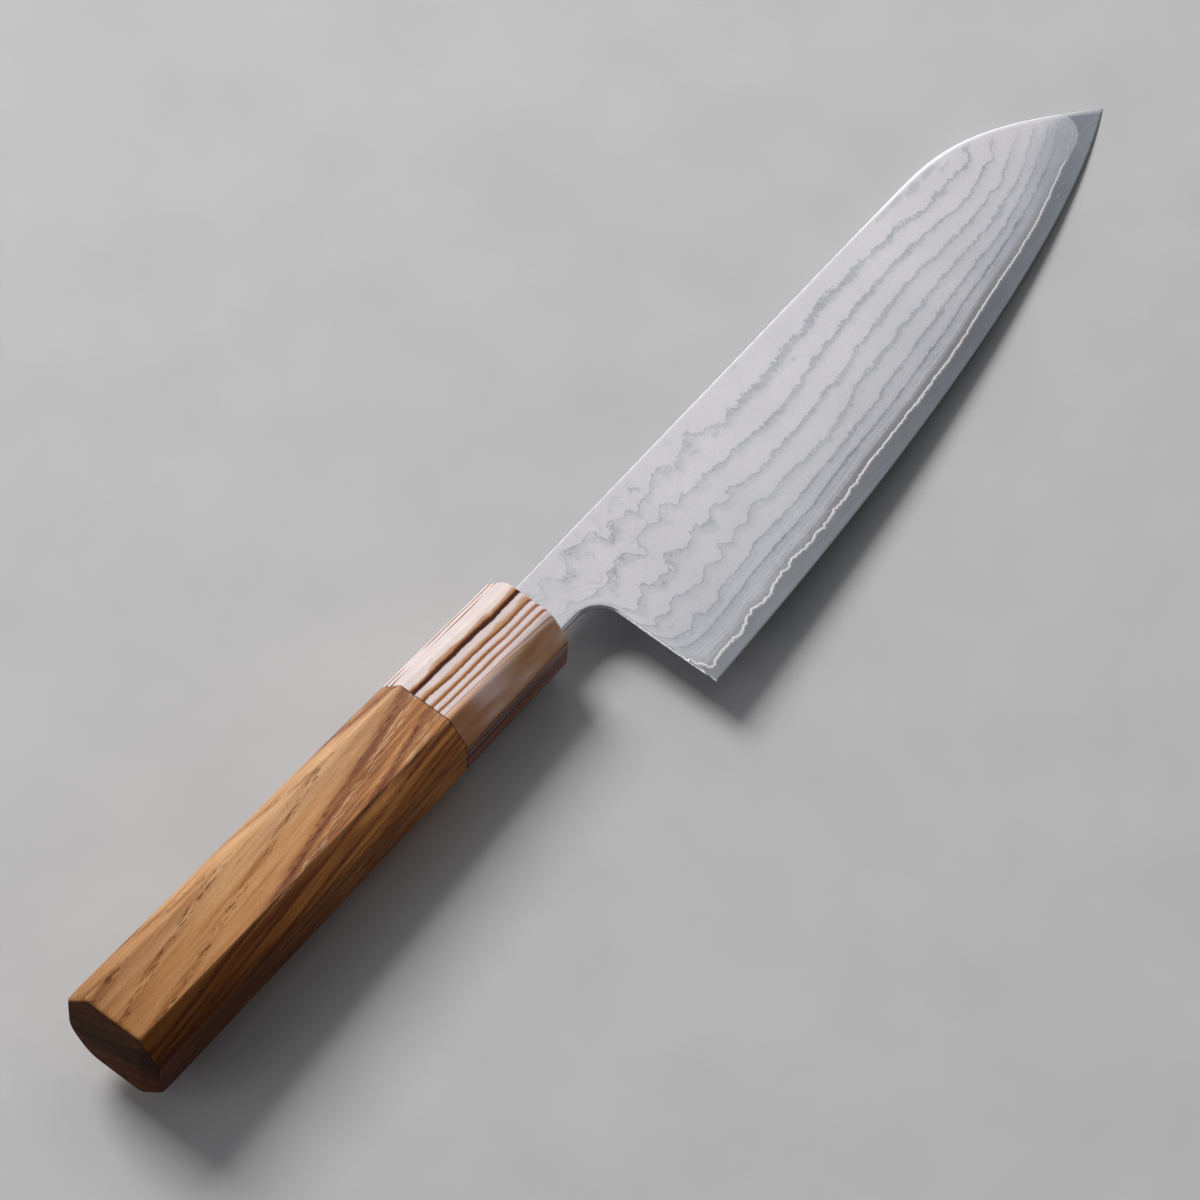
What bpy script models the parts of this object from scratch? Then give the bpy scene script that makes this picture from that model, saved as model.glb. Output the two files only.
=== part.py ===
"""Santoku knife with an eight-sided wooden handle, as separate solid pieces, lying on its side at rest.

Knife frame: x runs along the handle from the butt to the tip, y toward the spine, z across the blade's thickness.
Its origin is the centre of the ferrule's front face. All driving dimensions are in millimetres.
The empty "rest_pose" turns the knife frame nose-down until the ferrule's lower rim and the tip stand on z = 0, and
puts the world origin under the middle of the bounding box.
"""
import math

import bmesh
import bpy
from mathutils import Matrix, Vector

for old in list(bpy.data.objects):
    bpy.data.objects.remove(old, do_unlink=True)

MM = 0.001

# ---- blade outline
HEEL_X = 13.5            # the straight heel line, square to the handle axis
HEEL_Y = -38.75          # heel corner
TIP = (184.0, -12.4)     # tip point
SPINE_Y0 = 7.05          # spine height over the axis at the ferrule's face
SPINE_RISE = 0.0092      # the spine climbs by this much per millimetre
SPINE_TURN_X = 139.0     # where the straight spine turns down toward the tip
SPINE_PULL_A = 20.4      # handle lengths and end slope of the curve from the spine to the tip
SPINE_PULL_B = 18.9
SPINE_TIP_ANGLE = math.radians(39.5)
EDGE_HEEL_SLOPE = 0.05   # slope, handle lengths and end slope of the cutting edge
EDGE_PULL_A = 16.8
EDGE_PULL_B = 49.7
EDGE_TIP_ANGLE = math.radians(25.3)
NECK_Y = -7.0            # under side of the neck
CHOIL_R = 6.3            # round corner between the neck and the heel line
EDGE_STEPS = 84
SPINE_STEPS = 22

# ---- blade thickness, as half thickness from the middle plane
HALF_AT_SPINE = 1.00     # at the neck's spine
HALF_PER_Y = 0.0153      # the sides are flat ground and thin toward the edge
HALF_PER_X = 0.0015      # and thin toward the tip
CORE_HALF = 0.26         # cutting core
BOND = 0.015             # bond line between the core and each side layer
EDGE_HALF = 0.04         # left at the cutting edge
BEVEL_WIDTH = 3.2        # ground band of the core along the edge

# ---- lower border of the side layers
BORDER_OFF = 4.0         # bare core along the edge
BORDER_STEPS = 150
BARE_TIP_X = 173.2       # where the border turns up and crosses to the spine
BARE_TIP_SPINE = (174.9, -4.9)
BARE_TIP_BULGE = (177.2, -8.6)

# ---- tang
FACE_SPLIT_X = 2.0       # the outer faces end here, just in front of the ferrule, and go on along the tang
SHOULDER_X = -3.0
TANG_HALF_FRONT = 5.4
TANG_HALF_REAR = 2.5
TANG_REAR_X = -95.0

# ---- handle: width is along y, depth along z; chamfers are given along y and z
FERRULE_L = 33.6
WOOD_L = 95.6
BUTT = dict(w=24.6, d=22.0, cy=5.3, cz=5.95)
JOINT = dict(w=22.6, d=20.1, cy=4.85, cz=5.65)
FRONT = dict(w=21.9, d=20.0, cy=4.75, cz=5.6)
WOOD_ARRIS = 0.35        # radius on the long edges of the wood
WOOD_SOFT_L = 14.0       # over this length they soften to the ferrule's radius at the joint
FERRULE_R_JOINT = 1.3    # radius on the ferrule's long edges at the joint and at its front
FERRULE_R_FRONT = 3.2
RIM_R = 1.7              # round on the ferrule's front rim
BUTT_R = 0.8             # round on the butt's rim
JOINT_GAP = 0.1          # glue line between wood and ferrule

# ---- inside the handle
BORE_R = 6.6
BORE_END_X = -117.0
FERRULE_WALL = 6.2       # solid front of the ferrule, pierced by the mouth
MOUTH_HALF_Y = 7.6
MOUTH_HALF_Z = 1.6
DOWEL_R = 6.3
DOWEL_FRONT_X = -6.5
DOWEL_REAR_X = -115.5
SLOT_HALF = 1.7
SLOT_END_X = -99.0
FILL_HALF_Z = 1.58
FILL_HALF_Y = 5.95
FILL_FRONT_X = -6.8
FILL_REAR_X = -98.6
TANG_CLEAR = 0.12
SEAL_FRONT_X = -0.3
SEAL_REAR_X = -2.6


def half_thickness(x, y):
    return HALF_AT_SPINE - HALF_PER_Y * (7.0 - y) - HALF_PER_X * x


def bezier(p0, p1, p2, p3, steps):
    pts = []
    for i in range(steps + 1):
        t = i / steps
        u = 1.0 - t
        pts.append(tuple(u**3 * a + 3 * u * u * t * b + 3 * u * t * t * c + t**3 * d for a, b, c, d in zip(p0, p1, p2, p3)))
    return pts


def spine_y(x):
    return SPINE_Y0 + SPINE_RISE * x


def edge_points(steps=EDGE_STEPS):
    """Cutting edge from the heel corner to the tip."""
    p0 = (HEEL_X, HEEL_Y)
    p1 = (HEEL_X + EDGE_PULL_A, HEEL_Y + EDGE_PULL_A * EDGE_HEEL_SLOPE)
    p2 = (TIP[0] - EDGE_PULL_B * math.cos(EDGE_TIP_ANGLE), TIP[1] - EDGE_PULL_B * math.sin(EDGE_TIP_ANGLE))
    return bezier(p0, p1, p2, TIP, steps)


def spine_curve(steps=SPINE_STEPS):
    """Top of the blade from where it turns down to the tip."""
    p0 = (SPINE_TURN_X, spine_y(SPINE_TURN_X))
    p1 = (p0[0] + SPINE_PULL_A, p0[1] + SPINE_PULL_A * SPINE_RISE)
    p2 = (TIP[0] - SPINE_PULL_B * math.cos(SPINE_TIP_ANGLE), TIP[1] + SPINE_PULL_B * math.sin(SPINE_TIP_ANGLE))
    return bezier(p0, p1, p2, TIP, steps)


def back_outline():
    """From the spine's turn back along the spine, round the tang and on to the top of the heel line."""
    pts = [(60.0, spine_y(60.0)), (FACE_SPLIT_X, spine_y(FACE_SPLIT_X)), (SHOULDER_X, spine_y(SHOULDER_X)),
           (SHOULDER_X, TANG_HALF_FRONT),
           (TANG_REAR_X + 1.5, TANG_HALF_REAR), (TANG_REAR_X, TANG_HALF_REAR - 1.5),
           (TANG_REAR_X, -TANG_HALF_REAR + 1.5), (TANG_REAR_X + 1.5, -TANG_HALF_REAR),
           (SHOULDER_X, -TANG_HALF_FRONT), (SHOULDER_X, NECK_Y), (FACE_SPLIT_X, NECK_Y)]
    cx, cy = HEEL_X - CHOIL_R, NECK_Y - CHOIL_R
    for i in range(13):
        a = math.radians(90.0 - 90.0 * i / 12)
        pts.append((cx + CHOIL_R * math.cos(a), cy + CHOIL_R * math.sin(a)))
    return pts


def wave(s):
    """Uneven line that hand-forged layers show where the grind cuts through them."""
    return (0.34 * math.sin(2 * math.pi * s / 9.7 + 0.4) + 0.20 * math.sin(2 * math.pi * s / 4.3 + 1.9)
            + 0.11 * math.sin(2 * math.pi * s / 2.6 + 0.7))


def offset_edge(offset_at, steps, last_x):
    """Points at a distance inside the cutting edge, from the heel up to last_x."""
    edge = edge_points(steps)
    out = []
    run = 0.0
    for i, (x, y) in enumerate(edge):
        a = edge[max(i - 1, 0)]
        b = edge[min(i + 1, steps)]
        tx, ty = b[0] - a[0], b[1] - a[1]
        n = math.hypot(tx, ty)
        if i:
            run += math.dist(edge[i - 1], edge[i])
        d = offset_at(run)
        px, py = x - ty / n * d, y + tx / n * d
        if px > last_x:
            break
        out.append((max(px, HEEL_X), py))
    out[0] = (HEEL_X, out[0][1])
    return out


def new_object(name, verts, faces, material, location=(0.0, 0.0, 0.0)):
    """Object from millimetre points of the knife frame, with its own origin at location."""
    mesh = bpy.data.meshes.new(name)
    mesh.from_pydata([((x - location[0]) * MM, (y - location[1]) * MM, (z - location[2]) * MM) for x, y, z in verts], [], faces)
    mesh.validate()
    mesh.update()
    obj = bpy.data.objects.new(name, mesh)
    bpy.context.scene.collection.objects.link(obj)
    obj.location = [c * MM for c in location]
    if material:
        mesh.materials.append(material)
    return obj


def recalc_out(obj):
    bm = bmesh.new()
    bm.from_mesh(obj.data)
    bmesh.ops.recalc_face_normals(bm, faces=bm.faces[:])
    bm.to_mesh(obj.data)
    bm.free()


def material(name, colour, roughness, metallic):
    m = bpy.data.materials.new(name)
    m.use_nodes = True
    b = m.node_tree.nodes["Principled BSDF"]
    b.inputs["Base Color"].default_value = (*colour, 1.0)
    b.inputs["Roughness"].default_value = roughness
    b.inputs["Metallic"].default_value = metallic
    m.diffuse_color = (*colour, 1.0)
    return m


STEEL_CORE = material("core_steel", (0.30, 0.33, 0.36), 0.30, 1.0)
STEEL_RIGHT = material("cladding_right", (0.52, 0.52, 0.51), 0.42, 1.0)
STEEL_LEFT = material("cladding_left", (0.52, 0.52, 0.51), 0.42, 1.0)
RESIN = material("ferrule", (0.62, 0.45, 0.36), 0.22, 0.0)
OAK = material("handle_body", (0.36, 0.19, 0.08), 0.50, 0.0)
DOWEL = material("tang_dowel", (0.55, 0.40, 0.24), 0.60, 0.0)
GLUE = material("tang_adhesive", (0.70, 0.62, 0.42), 0.35, 0.0)
SEAL = material("mouth_seal", (0.05, 0.045, 0.04), 0.50, 0.0)


def boolean_cut(obj, cutter):
    cutter.hide_render = True
    cutter.display_type = "WIRE"
    mod = obj.modifiers.new("cut_" + cutter.name, "BOOLEAN")
    mod.operation = "DIFFERENCE"
    mod.solver = "EXACT"
    mod.object = cutter


def box_mesh(name, lo, hi, mat=None):
    x0, y0, z0 = lo
    x1, y1, z1 = hi
    v = [(x0, y0, z0), (x1, y0, z0), (x1, y1, z0), (x0, y1, z0), (x0, y0, z1), (x1, y0, z1), (x1, y1, z1), (x0, y1, z1)]
    f = [(0, 3, 2, 1), (4, 5, 6, 7), (0, 1, 5, 4), (1, 2, 6, 5), (2, 3, 7, 6), (3, 0, 4, 7)]
    return new_object(name, v, f, mat)


def cylinder_mesh(name, radius, x0, x1, segments, mat=None):
    """Round bar along x, turned about the handle axis."""
    v, f = [], []
    for x in (x0, x1):
        for i in range(segments):
            a = 2 * math.pi * (i + 0.5) / segments
            v.append((x, radius * math.cos(a), radius * math.sin(a)))
    for i in range(segments):
        j = (i + 1) % segments
        f.append((i, j, segments + j, segments + i))
    f.append(tuple(reversed(range(segments))))
    f.append(tuple(range(segments, 2 * segments)))
    obj = new_object(name, v, f, mat)
    recalc_out(obj)
    return obj


# ---- rounded octagon sections


def mix(a, b, t):
    return {k: a[k] + (b[k] - a[k]) * t for k in a}


def inset(sec, d):
    """The octagon with every side moved inward by d."""
    w, h, cy, cz = sec["w"] / 2, sec["d"] / 2, sec["cy"], sec["cz"]
    n = math.hypot(cy, cz)
    c = (cz * w + cy * (h - cz)) / n - d
    y = (n * c - cy * (h - d)) / cz
    z = (n * c - cz * (w - d)) / cy
    return dict(w=2 * (w - d), d=2 * (h - d), cy=(w - d) - y, cz=(h - d) - z)


def octagon(sec, radius, arc):
    """Section points (y, z), counter-clockwise seen from +x, each corner rounded with arc + 1 points."""
    w, h, cy, cz = sec["w"] / 2, sec["d"] / 2, sec["cy"], sec["cz"]
    corners = [(w, -h + cz), (w, h - cz), (w - cy, h), (-w + cy, h), (-w, h - cz), (-w, -h + cz), (-w + cy, -h), (w - cy, -h)]
    pts = []
    for i, p in enumerate(corners):
        a, b = corners[i - 1], corners[(i + 1) % 8]
        d1 = Vector((p[0] - a[0], p[1] - a[1])).normalized()
        d2 = Vector((b[0] - p[0], b[1] - p[1])).normalized()
        turn = math.atan2(d1.x * d2.y - d1.y * d2.x, d1.dot(d2))
        t = radius * math.tan(turn / 2)
        start = Vector(p) - d1 * t
        centre = start + Vector((-d1.y, d1.x)) * radius
        arm = start - centre
        for k in range(arc + 1):
            ang = turn * k / arc
            ca, sa = math.cos(ang), math.sin(ang)
            pts.append((centre.x + arm.x * ca - arm.y * sa, centre.y + arm.x * sa + arm.y * ca))
    return pts


def loft(name, rings, mat):
    """Solid through rings of equal point count, each ring (x, points), closed by flat ends."""
    n = len(rings[0][1])
    verts, faces = [], []
    for x, pts in rings:
        verts += [(x, y, z) for y, z in pts]
    for r in range(len(rings) - 1):
        for i in range(n):
            j = (i + 1) % n
            faces.append((r * n + i, r * n + j, (r + 1) * n + j, (r + 1) * n + i))
    faces.append(tuple(reversed(range(n))))
    last = (len(rings) - 1) * n
    faces.append(tuple(range(last, last + n)))
    obj = new_object(name, verts, faces, mat)
    recalc_out(obj)
    return obj


def shade(obj, angle=30.0):
    obj.data.shade_smooth()
    obj.data.set_sharp_from_angle(angle=math.radians(angle))


# ---- core steel


def build_core():
    """Thin plate with the tang; along the edge it is ground down to the cutting edge."""
    edge = edge_points()
    curve = spine_curve()
    last = SPINE_STEPS - 3
    end = curve[last]
    inner = []
    for i, (x, y) in enumerate(edge):
        t = i / EDGE_STEPS
        a, b = edge[max(i - 1, 0)], edge[min(i + 1, EDGE_STEPS)]
        n = math.hypot(b[0] - a[0], b[1] - a[1])
        width = BEVEL_WIDTH
        px, py = x - (b[1] - a[1]) / n * width, y + (b[0] - a[0]) / n * width
        blend = max(0.0, (t - 0.90) / 0.10) ** 1.5
        px, py = px + (end[0] - px) * blend, py + (end[1] - py) * blend
        inner.append((max(px, HEEL_X), py))
    inner[0] = (HEEL_X, inner[0][1])
    inner[-1] = end
    plate = inner + [curve[i] for i in range(last - 1, -1, -1)] + back_outline()
    verts, faces = [], []
    n = len(plate)
    for side in (1, -1):
        verts += [(x, y, side * CORE_HALF) for x, y in plate]
    first_edge = len(verts)
    m = len(edge)
    for side in (1, -1):
        verts += [(x, y, side * EDGE_HALF) for x, y in edge]
    faces.append(tuple(range(n)))
    faces.append(tuple(reversed(range(n, 2 * n))))
    for i in range(m - 1):
        faces.append((first_edge + i, first_edge + i + 1, i + 1, i))
        faces.append((n + i, n + i + 1, first_edge + m + i + 1, first_edge + m + i))
        faces.append((first_edge + m + i, first_edge + m + i + 1, first_edge + i + 1, first_edge + i))
    for i in range(m - 1, n):
        j = (i + 1) % n
        faces.append((i, n + i, n + j, j))
    faces.append((0, n, first_edge + m, first_edge))
    tip_top, tip_low = first_edge + m - 1, first_edge + 2 * m - 1
    faces.append((tip_top, tip_low, n + m - 1, m - 1))
    obj = new_object("core_steel", verts, faces, STEEL_CORE)
    recalc_out(obj)
    return obj


# ---- side layers


def side_outline():
    border = offset_edge(lambda s: BORDER_OFF + wave(s) * min(1.0, s / 6.0), BORDER_STEPS, BARE_TIP_X)
    turn = bezier(border[-1], (border[-1][0] + 3.2, border[-1][1] + 1.4), BARE_TIP_BULGE, BARE_TIP_SPINE, 8)[1:]
    curve = spine_curve(40)
    back = [p for p in reversed(curve) if p[0] < BARE_TIP_SPINE[0] - 0.4]
    return border + turn + back + back_outline()


def build_side(name, side, mat):
    """Flat-ground layer from the bond line to the ground face, on the side z = side."""
    pts = side_outline()
    n = len(pts)
    inner = CORE_HALF + BOND
    verts = [(x, y, side * half_thickness(x, y)) for x, y in pts] + [(x, y, side * inner) for x, y in pts]
    top = pts.index((FACE_SPLIT_X, spine_y(FACE_SPLIT_X)))
    low = pts.index((FACE_SPLIT_X, NECK_Y))
    blade_face = tuple(range(low, n)) + tuple(range(top + 1))
    tang_face = tuple(range(top, low + 1))
    inner_face = tuple(reversed(range(n, 2 * n)))
    walls = [(i, n + i, n + (i + 1) % n, (i + 1) % n) for i in range(n)]
    faces = [blade_face, tang_face, inner_face] + walls
    if side < 0:
        faces = [tuple(reversed(f)) for f in faces]
    return new_object(name, verts, faces, mat)


# ---- handle


def build_ferrule():
    rings = []
    steps = 7
    for i in range(steps + 1):
        t = i / steps
        x = -FERRULE_L + (FERRULE_L - RIM_R) * t
        ease = t * t * (3 - 2 * t)
        r = FERRULE_R_JOINT + (FERRULE_R_FRONT - FERRULE_R_JOINT) * ease
        rings.append((x, octagon(mix(JOINT, FRONT, (x + FERRULE_L) / FERRULE_L), r, 4)))
    for i in range(1, 6):
        a = math.radians(90.0 * i / 5)
        d = RIM_R * (1 - math.cos(a))
        x = -RIM_R + RIM_R * math.sin(a)
        rings.append((x, octagon(inset(mix(JOINT, FRONT, (x + FERRULE_L) / FERRULE_L), d), FERRULE_R_FRONT - d, 4)))
    obj = loft("ferrule", rings, RESIN)
    boolean_cut(obj, cylinder_mesh("ferrule_bore_cutter", BORE_R, -FERRULE_L - 2.0, -FERRULE_WALL, 40))
    boolean_cut(obj, box_mesh("ferrule_mouth_cutter", (-FERRULE_WALL - 1.0, -MOUTH_HALF_Y, -MOUTH_HALF_Z), (1.0, MOUTH_HALF_Y, MOUTH_HALF_Z)))
    shade(obj)
    return obj


def build_wood():
    rings = []
    butt_x = -FERRULE_L - WOOD_L
    for i in range(3):
        a = math.radians(90.0 * (1 - i / 2))
        d = BUTT_R * (1 - math.cos(a))
        rings.append((butt_x + BUTT_R * (1 - math.sin(a)), octagon(inset(BUTT, d), max(WOOD_ARRIS - d, 0.12), 2)))
    for i in range(4):
        t = i / 3
        x = -FERRULE_L - JOINT_GAP - WOOD_SOFT_L * (1 - t)
        r = WOOD_ARRIS + (FERRULE_R_JOINT - WOOD_ARRIS) * t * t
        rings.append((x, octagon(mix(BUTT, JOINT, (x - butt_x) / WOOD_L), r, 2)))
    obj = loft("handle_body", rings, OAK)
    boolean_cut(obj, cylinder_mesh("wood_bore_cutter", BORE_R, BORE_END_X, -FERRULE_L + 2.0, 40))
    shade(obj)
    return obj


def build_dowel():
    obj = cylinder_mesh("tang_dowel", DOWEL_R, DOWEL_REAR_X, DOWEL_FRONT_X, 40, DOWEL)
    boolean_cut(obj, box_mesh("dowel_slot_cutter", (SLOT_END_X, -DOWEL_R - 1.0, -SLOT_HALF), (DOWEL_FRONT_X + 2.0, DOWEL_R + 1.0, SLOT_HALF)))
    shade(obj)
    return obj


def tang_half_y(x):
    t = (SHOULDER_X - x) / (SHOULDER_X - TANG_REAR_X)
    return TANG_HALF_FRONT + (TANG_HALF_REAR - TANG_HALF_FRONT) * t


def build_fill():
    """Resin sleeve in the dowel's slot, open at the front where the tang goes in."""
    obj = box_mesh("tang_adhesive", (FILL_REAR_X, -FILL_HALF_Y, -FILL_HALF_Z), (FILL_FRONT_X, FILL_HALF_Y, FILL_HALF_Z), GLUE)
    verts = []
    for x in (TANG_REAR_X - 0.4, SHOULDER_X + 1.0):
        hy = tang_half_y(x) + TANG_CLEAR + 0.05
        hz = half_thickness(x, tang_half_y(x)) + TANG_CLEAR
        verts += [(x, -hy, -hz), (x, hy, -hz), (x, hy, hz), (x, -hy, hz)]
    faces = [(0, 1, 2, 3), (7, 6, 5, 4), (0, 4, 5, 1), (1, 5, 6, 2), (2, 6, 7, 3), (3, 7, 4, 0)]
    cutter = new_object("tang_clearance_cutter", verts, faces, None)
    recalc_out(cutter)
    boolean_cut(obj, cutter)
    return obj


def build_seal():
    """Collar of filler round the neck inside the ferrule's mouth."""
    oy, oz = MOUTH_HALF_Y - 0.15, MOUTH_HALF_Z - 0.15
    iy = -NECK_Y + 0.14
    iz = half_thickness(SEAL_REAR_X, -NECK_Y) + 0.10
    verts = []
    for x in (SEAL_REAR_X, SEAL_FRONT_X):
        verts += [(x, -oy, -oz), (x, oy, -oz), (x, oy, oz), (x, -oy, oz), (x, -iy, -iz), (x, iy, -iz), (x, iy, iz), (x, -iy, iz)]
    faces = []
    for i in range(4):
        j = (i + 1) % 4
        faces.append((i, j, 4 + j, 4 + i))
        faces.append((8 + i, 12 + i, 12 + j, 8 + j))
        faces.append((i, 8 + i, 8 + j, j))
        faces.append((4 + i, 4 + j, 12 + j, 12 + i))
    obj = new_object("mouth_seal", verts, faces, SEAL)
    recalc_out(obj)
    return obj


pieces = [build_core(), build_side("cladding_right", 1, STEEL_RIGHT), build_side("cladding_left", -1, STEEL_LEFT),
          build_ferrule(), build_wood(), build_dowel(), build_fill(), build_seal()]


# ---- rest pose


def knife_points(obj):
    return [obj.matrix_local @ v.co for v in obj.data.vertices]


def rest_pose(objs):
    """Nose-down angle at which the ferrule's rim and the blade's tip are equally low, and the shift to the origin."""
    rim = [p for p in knife_points(objs[3])]
    blade = [p for o in objs[:3] for p in knife_points(o) if p.x > 0.15]

    def low(points, angle):
        turn = Matrix.Rotation(angle, 3, "Y")
        return min((turn @ p).z for p in points)

    lo, hi = 0.0, math.radians(8.0)
    for _ in range(60):
        mid = (lo + hi) / 2
        if low(blade, mid) > low(rim, mid):
            lo = mid
        else:
            hi = mid
    angle = (lo + hi) / 2
    turn = Matrix.Rotation(angle, 3, "Y")
    everything = [turn @ p for o in objs for p in knife_points(o)]
    x = [p.x for p in everything]
    y = [p.y for p in everything]
    z = [p.z for p in everything]
    return angle, Vector((-(min(x) + max(x)) / 2, -(min(y) + max(y)) / 2, -min(z)))


pitch, shift = rest_pose(pieces)
root = bpy.data.objects.new("rest_pose", None)
bpy.context.scene.collection.objects.link(root)
root.location = shift
root.rotation_euler = (0.0, pitch, 0.0)
for obj in list(bpy.context.scene.objects):
    if obj is not root and obj.parent is None:
        obj.parent = root
bpy.context.view_layer.update()
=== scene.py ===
import math

import bpy
import numpy as np
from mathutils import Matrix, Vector, noise
from mathutils.geometry import delaunay_2d_cdt
from mathutils.kdtree import KDTree


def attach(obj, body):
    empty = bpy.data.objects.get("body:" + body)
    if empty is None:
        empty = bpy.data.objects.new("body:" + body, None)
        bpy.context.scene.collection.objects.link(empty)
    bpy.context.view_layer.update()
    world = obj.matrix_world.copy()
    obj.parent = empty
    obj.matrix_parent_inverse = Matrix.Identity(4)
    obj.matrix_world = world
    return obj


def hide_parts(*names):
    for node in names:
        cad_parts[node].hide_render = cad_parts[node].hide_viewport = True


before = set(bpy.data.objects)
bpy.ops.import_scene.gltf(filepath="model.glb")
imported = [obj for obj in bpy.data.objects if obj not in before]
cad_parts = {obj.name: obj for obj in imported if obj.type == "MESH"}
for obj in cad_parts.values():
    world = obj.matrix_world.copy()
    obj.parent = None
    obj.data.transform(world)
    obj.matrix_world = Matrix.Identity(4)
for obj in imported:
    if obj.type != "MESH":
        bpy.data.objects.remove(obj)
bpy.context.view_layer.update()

MM = 0.001
PITCH = 0.05334222503
SHIFT = (-27.090177, 13.225, 9.897665)

# ---------------------------------------------------------------- dimensions, as in the solids
HEEL_X, HEEL_Y = 13.5, -38.75
TIP = (184.0, -12.4)
SPINE_Y0, SPINE_RISE, SPINE_TURN_X = 7.05, 0.0092, 139.0
SPINE_PULL_A, SPINE_PULL_B, SPINE_TIP_ANGLE = 20.4, 18.9, math.radians(39.5)
EDGE_HEEL_SLOPE, EDGE_PULL_A, EDGE_PULL_B, EDGE_TIP_ANGLE = 0.05, 16.8, 49.7, math.radians(25.3)
NECK_Y, CHOIL_R = -7.0, 6.3
CORE_HALF = 0.26
FACE_SPLIT_X, SHOULDER_X = 2.0, -3.0
TANG_HALF_FRONT, TANG_HALF_REAR, TANG_REAR_X = 5.4, 2.5, -95.0
FERRULE_L, WOOD_L = 33.6, 95.6
BUTT = dict(w=24.6, d=22.0, cy=5.3, cz=5.95)
JOINT = dict(w=22.6, d=20.1, cy=4.85, cz=5.65)
FRONT = dict(w=21.9, d=20.0, cy=4.75, cz=5.6)
WOOD_ARRIS, WOOD_SOFT_L = 0.35, 14.0
FERRULE_R_JOINT, FERRULE_R_FRONT, RIM_R, BUTT_R, JOINT_GAP = 1.3, 4.0, 1.1, 1.0, 0.1
BUTT_DOME = 0.4
BORE_R, BORE_END_X, FERRULE_WALL = 6.6, -117.0, 6.2
MOUTH_HALF_Y, MOUTH_HALF_Z = 7.6, 1.6


def to_world(co):
    co = np.asarray(co, float)
    c, s = math.cos(PITCH), math.sin(PITCH)
    return np.stack([co[:, 0] * c + co[:, 2] * s + SHIFT[0], co[:, 1] + SHIFT[1],
                     -co[:, 0] * s + co[:, 2] * c + SHIFT[2]], 1) * MM


def to_knife(co):
    p = np.asarray(co, float) / MM - np.array(SHIFT)
    c, s = math.cos(PITCH), math.sin(PITCH)
    return np.stack([p[:, 0] * c - p[:, 2] * s, p[:, 1], p[:, 0] * s + p[:, 2] * c], 1)


# ---------------------------------------------------------------- blade outline
def half_thickness(x, y):
    return 1.0 - 0.0153 * (7.0 - y) - 0.0015 * x


def bezier(p0, p1, p2, p3, steps):
    t = np.linspace(0.0, 1.0, steps + 1)[:, None]
    u = 1.0 - t
    p0, p1, p2, p3 = (np.array(p, float) for p in (p0, p1, p2, p3))
    return u**3 * p0 + 3 * u * u * t * p1 + 3 * u * t * t * p2 + t**3 * p3


def spine_y(x):
    return SPINE_Y0 + SPINE_RISE * x


def edge_curve(steps):
    p1 = (HEEL_X + EDGE_PULL_A, HEEL_Y + EDGE_PULL_A * EDGE_HEEL_SLOPE)
    p2 = (TIP[0] - EDGE_PULL_B * math.cos(EDGE_TIP_ANGLE), TIP[1] - EDGE_PULL_B * math.sin(EDGE_TIP_ANGLE))
    return bezier((HEEL_X, HEEL_Y), p1, p2, TIP, steps)


def spine_curve(steps):
    p0 = (SPINE_TURN_X, spine_y(SPINE_TURN_X))
    p1 = (p0[0] + SPINE_PULL_A, p0[1] + SPINE_PULL_A * SPINE_RISE)
    p2 = (TIP[0] - SPINE_PULL_B * math.cos(SPINE_TIP_ANGLE), TIP[1] + SPINE_PULL_B * math.sin(SPINE_TIP_ANGLE))
    return bezier(p0, p1, p2, TIP, steps)


def resample(pts, step):
    pts = np.asarray(pts, float)
    seg = np.hypot(*np.diff(pts, axis=0).T)
    run = np.concatenate([[0.0], np.cumsum(seg)])
    n = max(2, int(round(run[-1] / step)) + 1)
    s = np.linspace(0.0, run[-1], n)
    return np.stack([np.interp(s, run, pts[:, 0]), np.interp(s, run, pts[:, 1])], 1)


def through(points, step):
    """Smooth curve through a few design points."""
    p = np.asarray(points, float)
    p = np.vstack([2 * p[0] - p[1], p, 2 * p[-1] - p[-2]])
    out = []
    for i in range(1, len(p) - 2):
        for t in np.linspace(0.0, 1.0, 12, endpoint=False):
            a, b, c, d = p[i - 1], p[i], p[i + 1], p[i + 2]
            out.append(0.5 * (2 * b + (c - a) * t + (2 * a - 5 * b + 4 * c - d) * t**2 + (3 * b - a - 3 * c + d) * t**3))
    out.append(p[-2])
    return resample(out, step)


def choil_line():
    """From the neck's under side round the choil and down the heel line to the heel corner."""
    pts = [(FACE_SPLIT_X, NECK_Y)]
    cx, cy = HEEL_X - CHOIL_R, NECK_Y - CHOIL_R
    for i in range(41):
        a = math.radians(90.0 - 90.0 * i / 40)
        pts.append((cx + CHOIL_R * math.cos(a), cy + CHOIL_R * math.sin(a)))
    pts.append((HEEL_X, HEEL_Y))
    return np.array(pts)


TANG = [(FACE_SPLIT_X - 2.5, spine_y(0.0)), (SHOULDER_X, spine_y(SHOULDER_X)), (SHOULDER_X, TANG_HALF_FRONT),
        (TANG_REAR_X + 1.5, TANG_HALF_REAR), (TANG_REAR_X, TANG_HALF_REAR - 1.5), (TANG_REAR_X, -TANG_HALF_REAR + 1.5),
        (TANG_REAR_X + 1.5, -TANG_HALF_REAR), (SHOULDER_X, -TANG_HALF_FRONT), (SHOULDER_X, NECK_Y), (FACE_SPLIT_X - 2.5, NECK_Y)]

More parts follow.
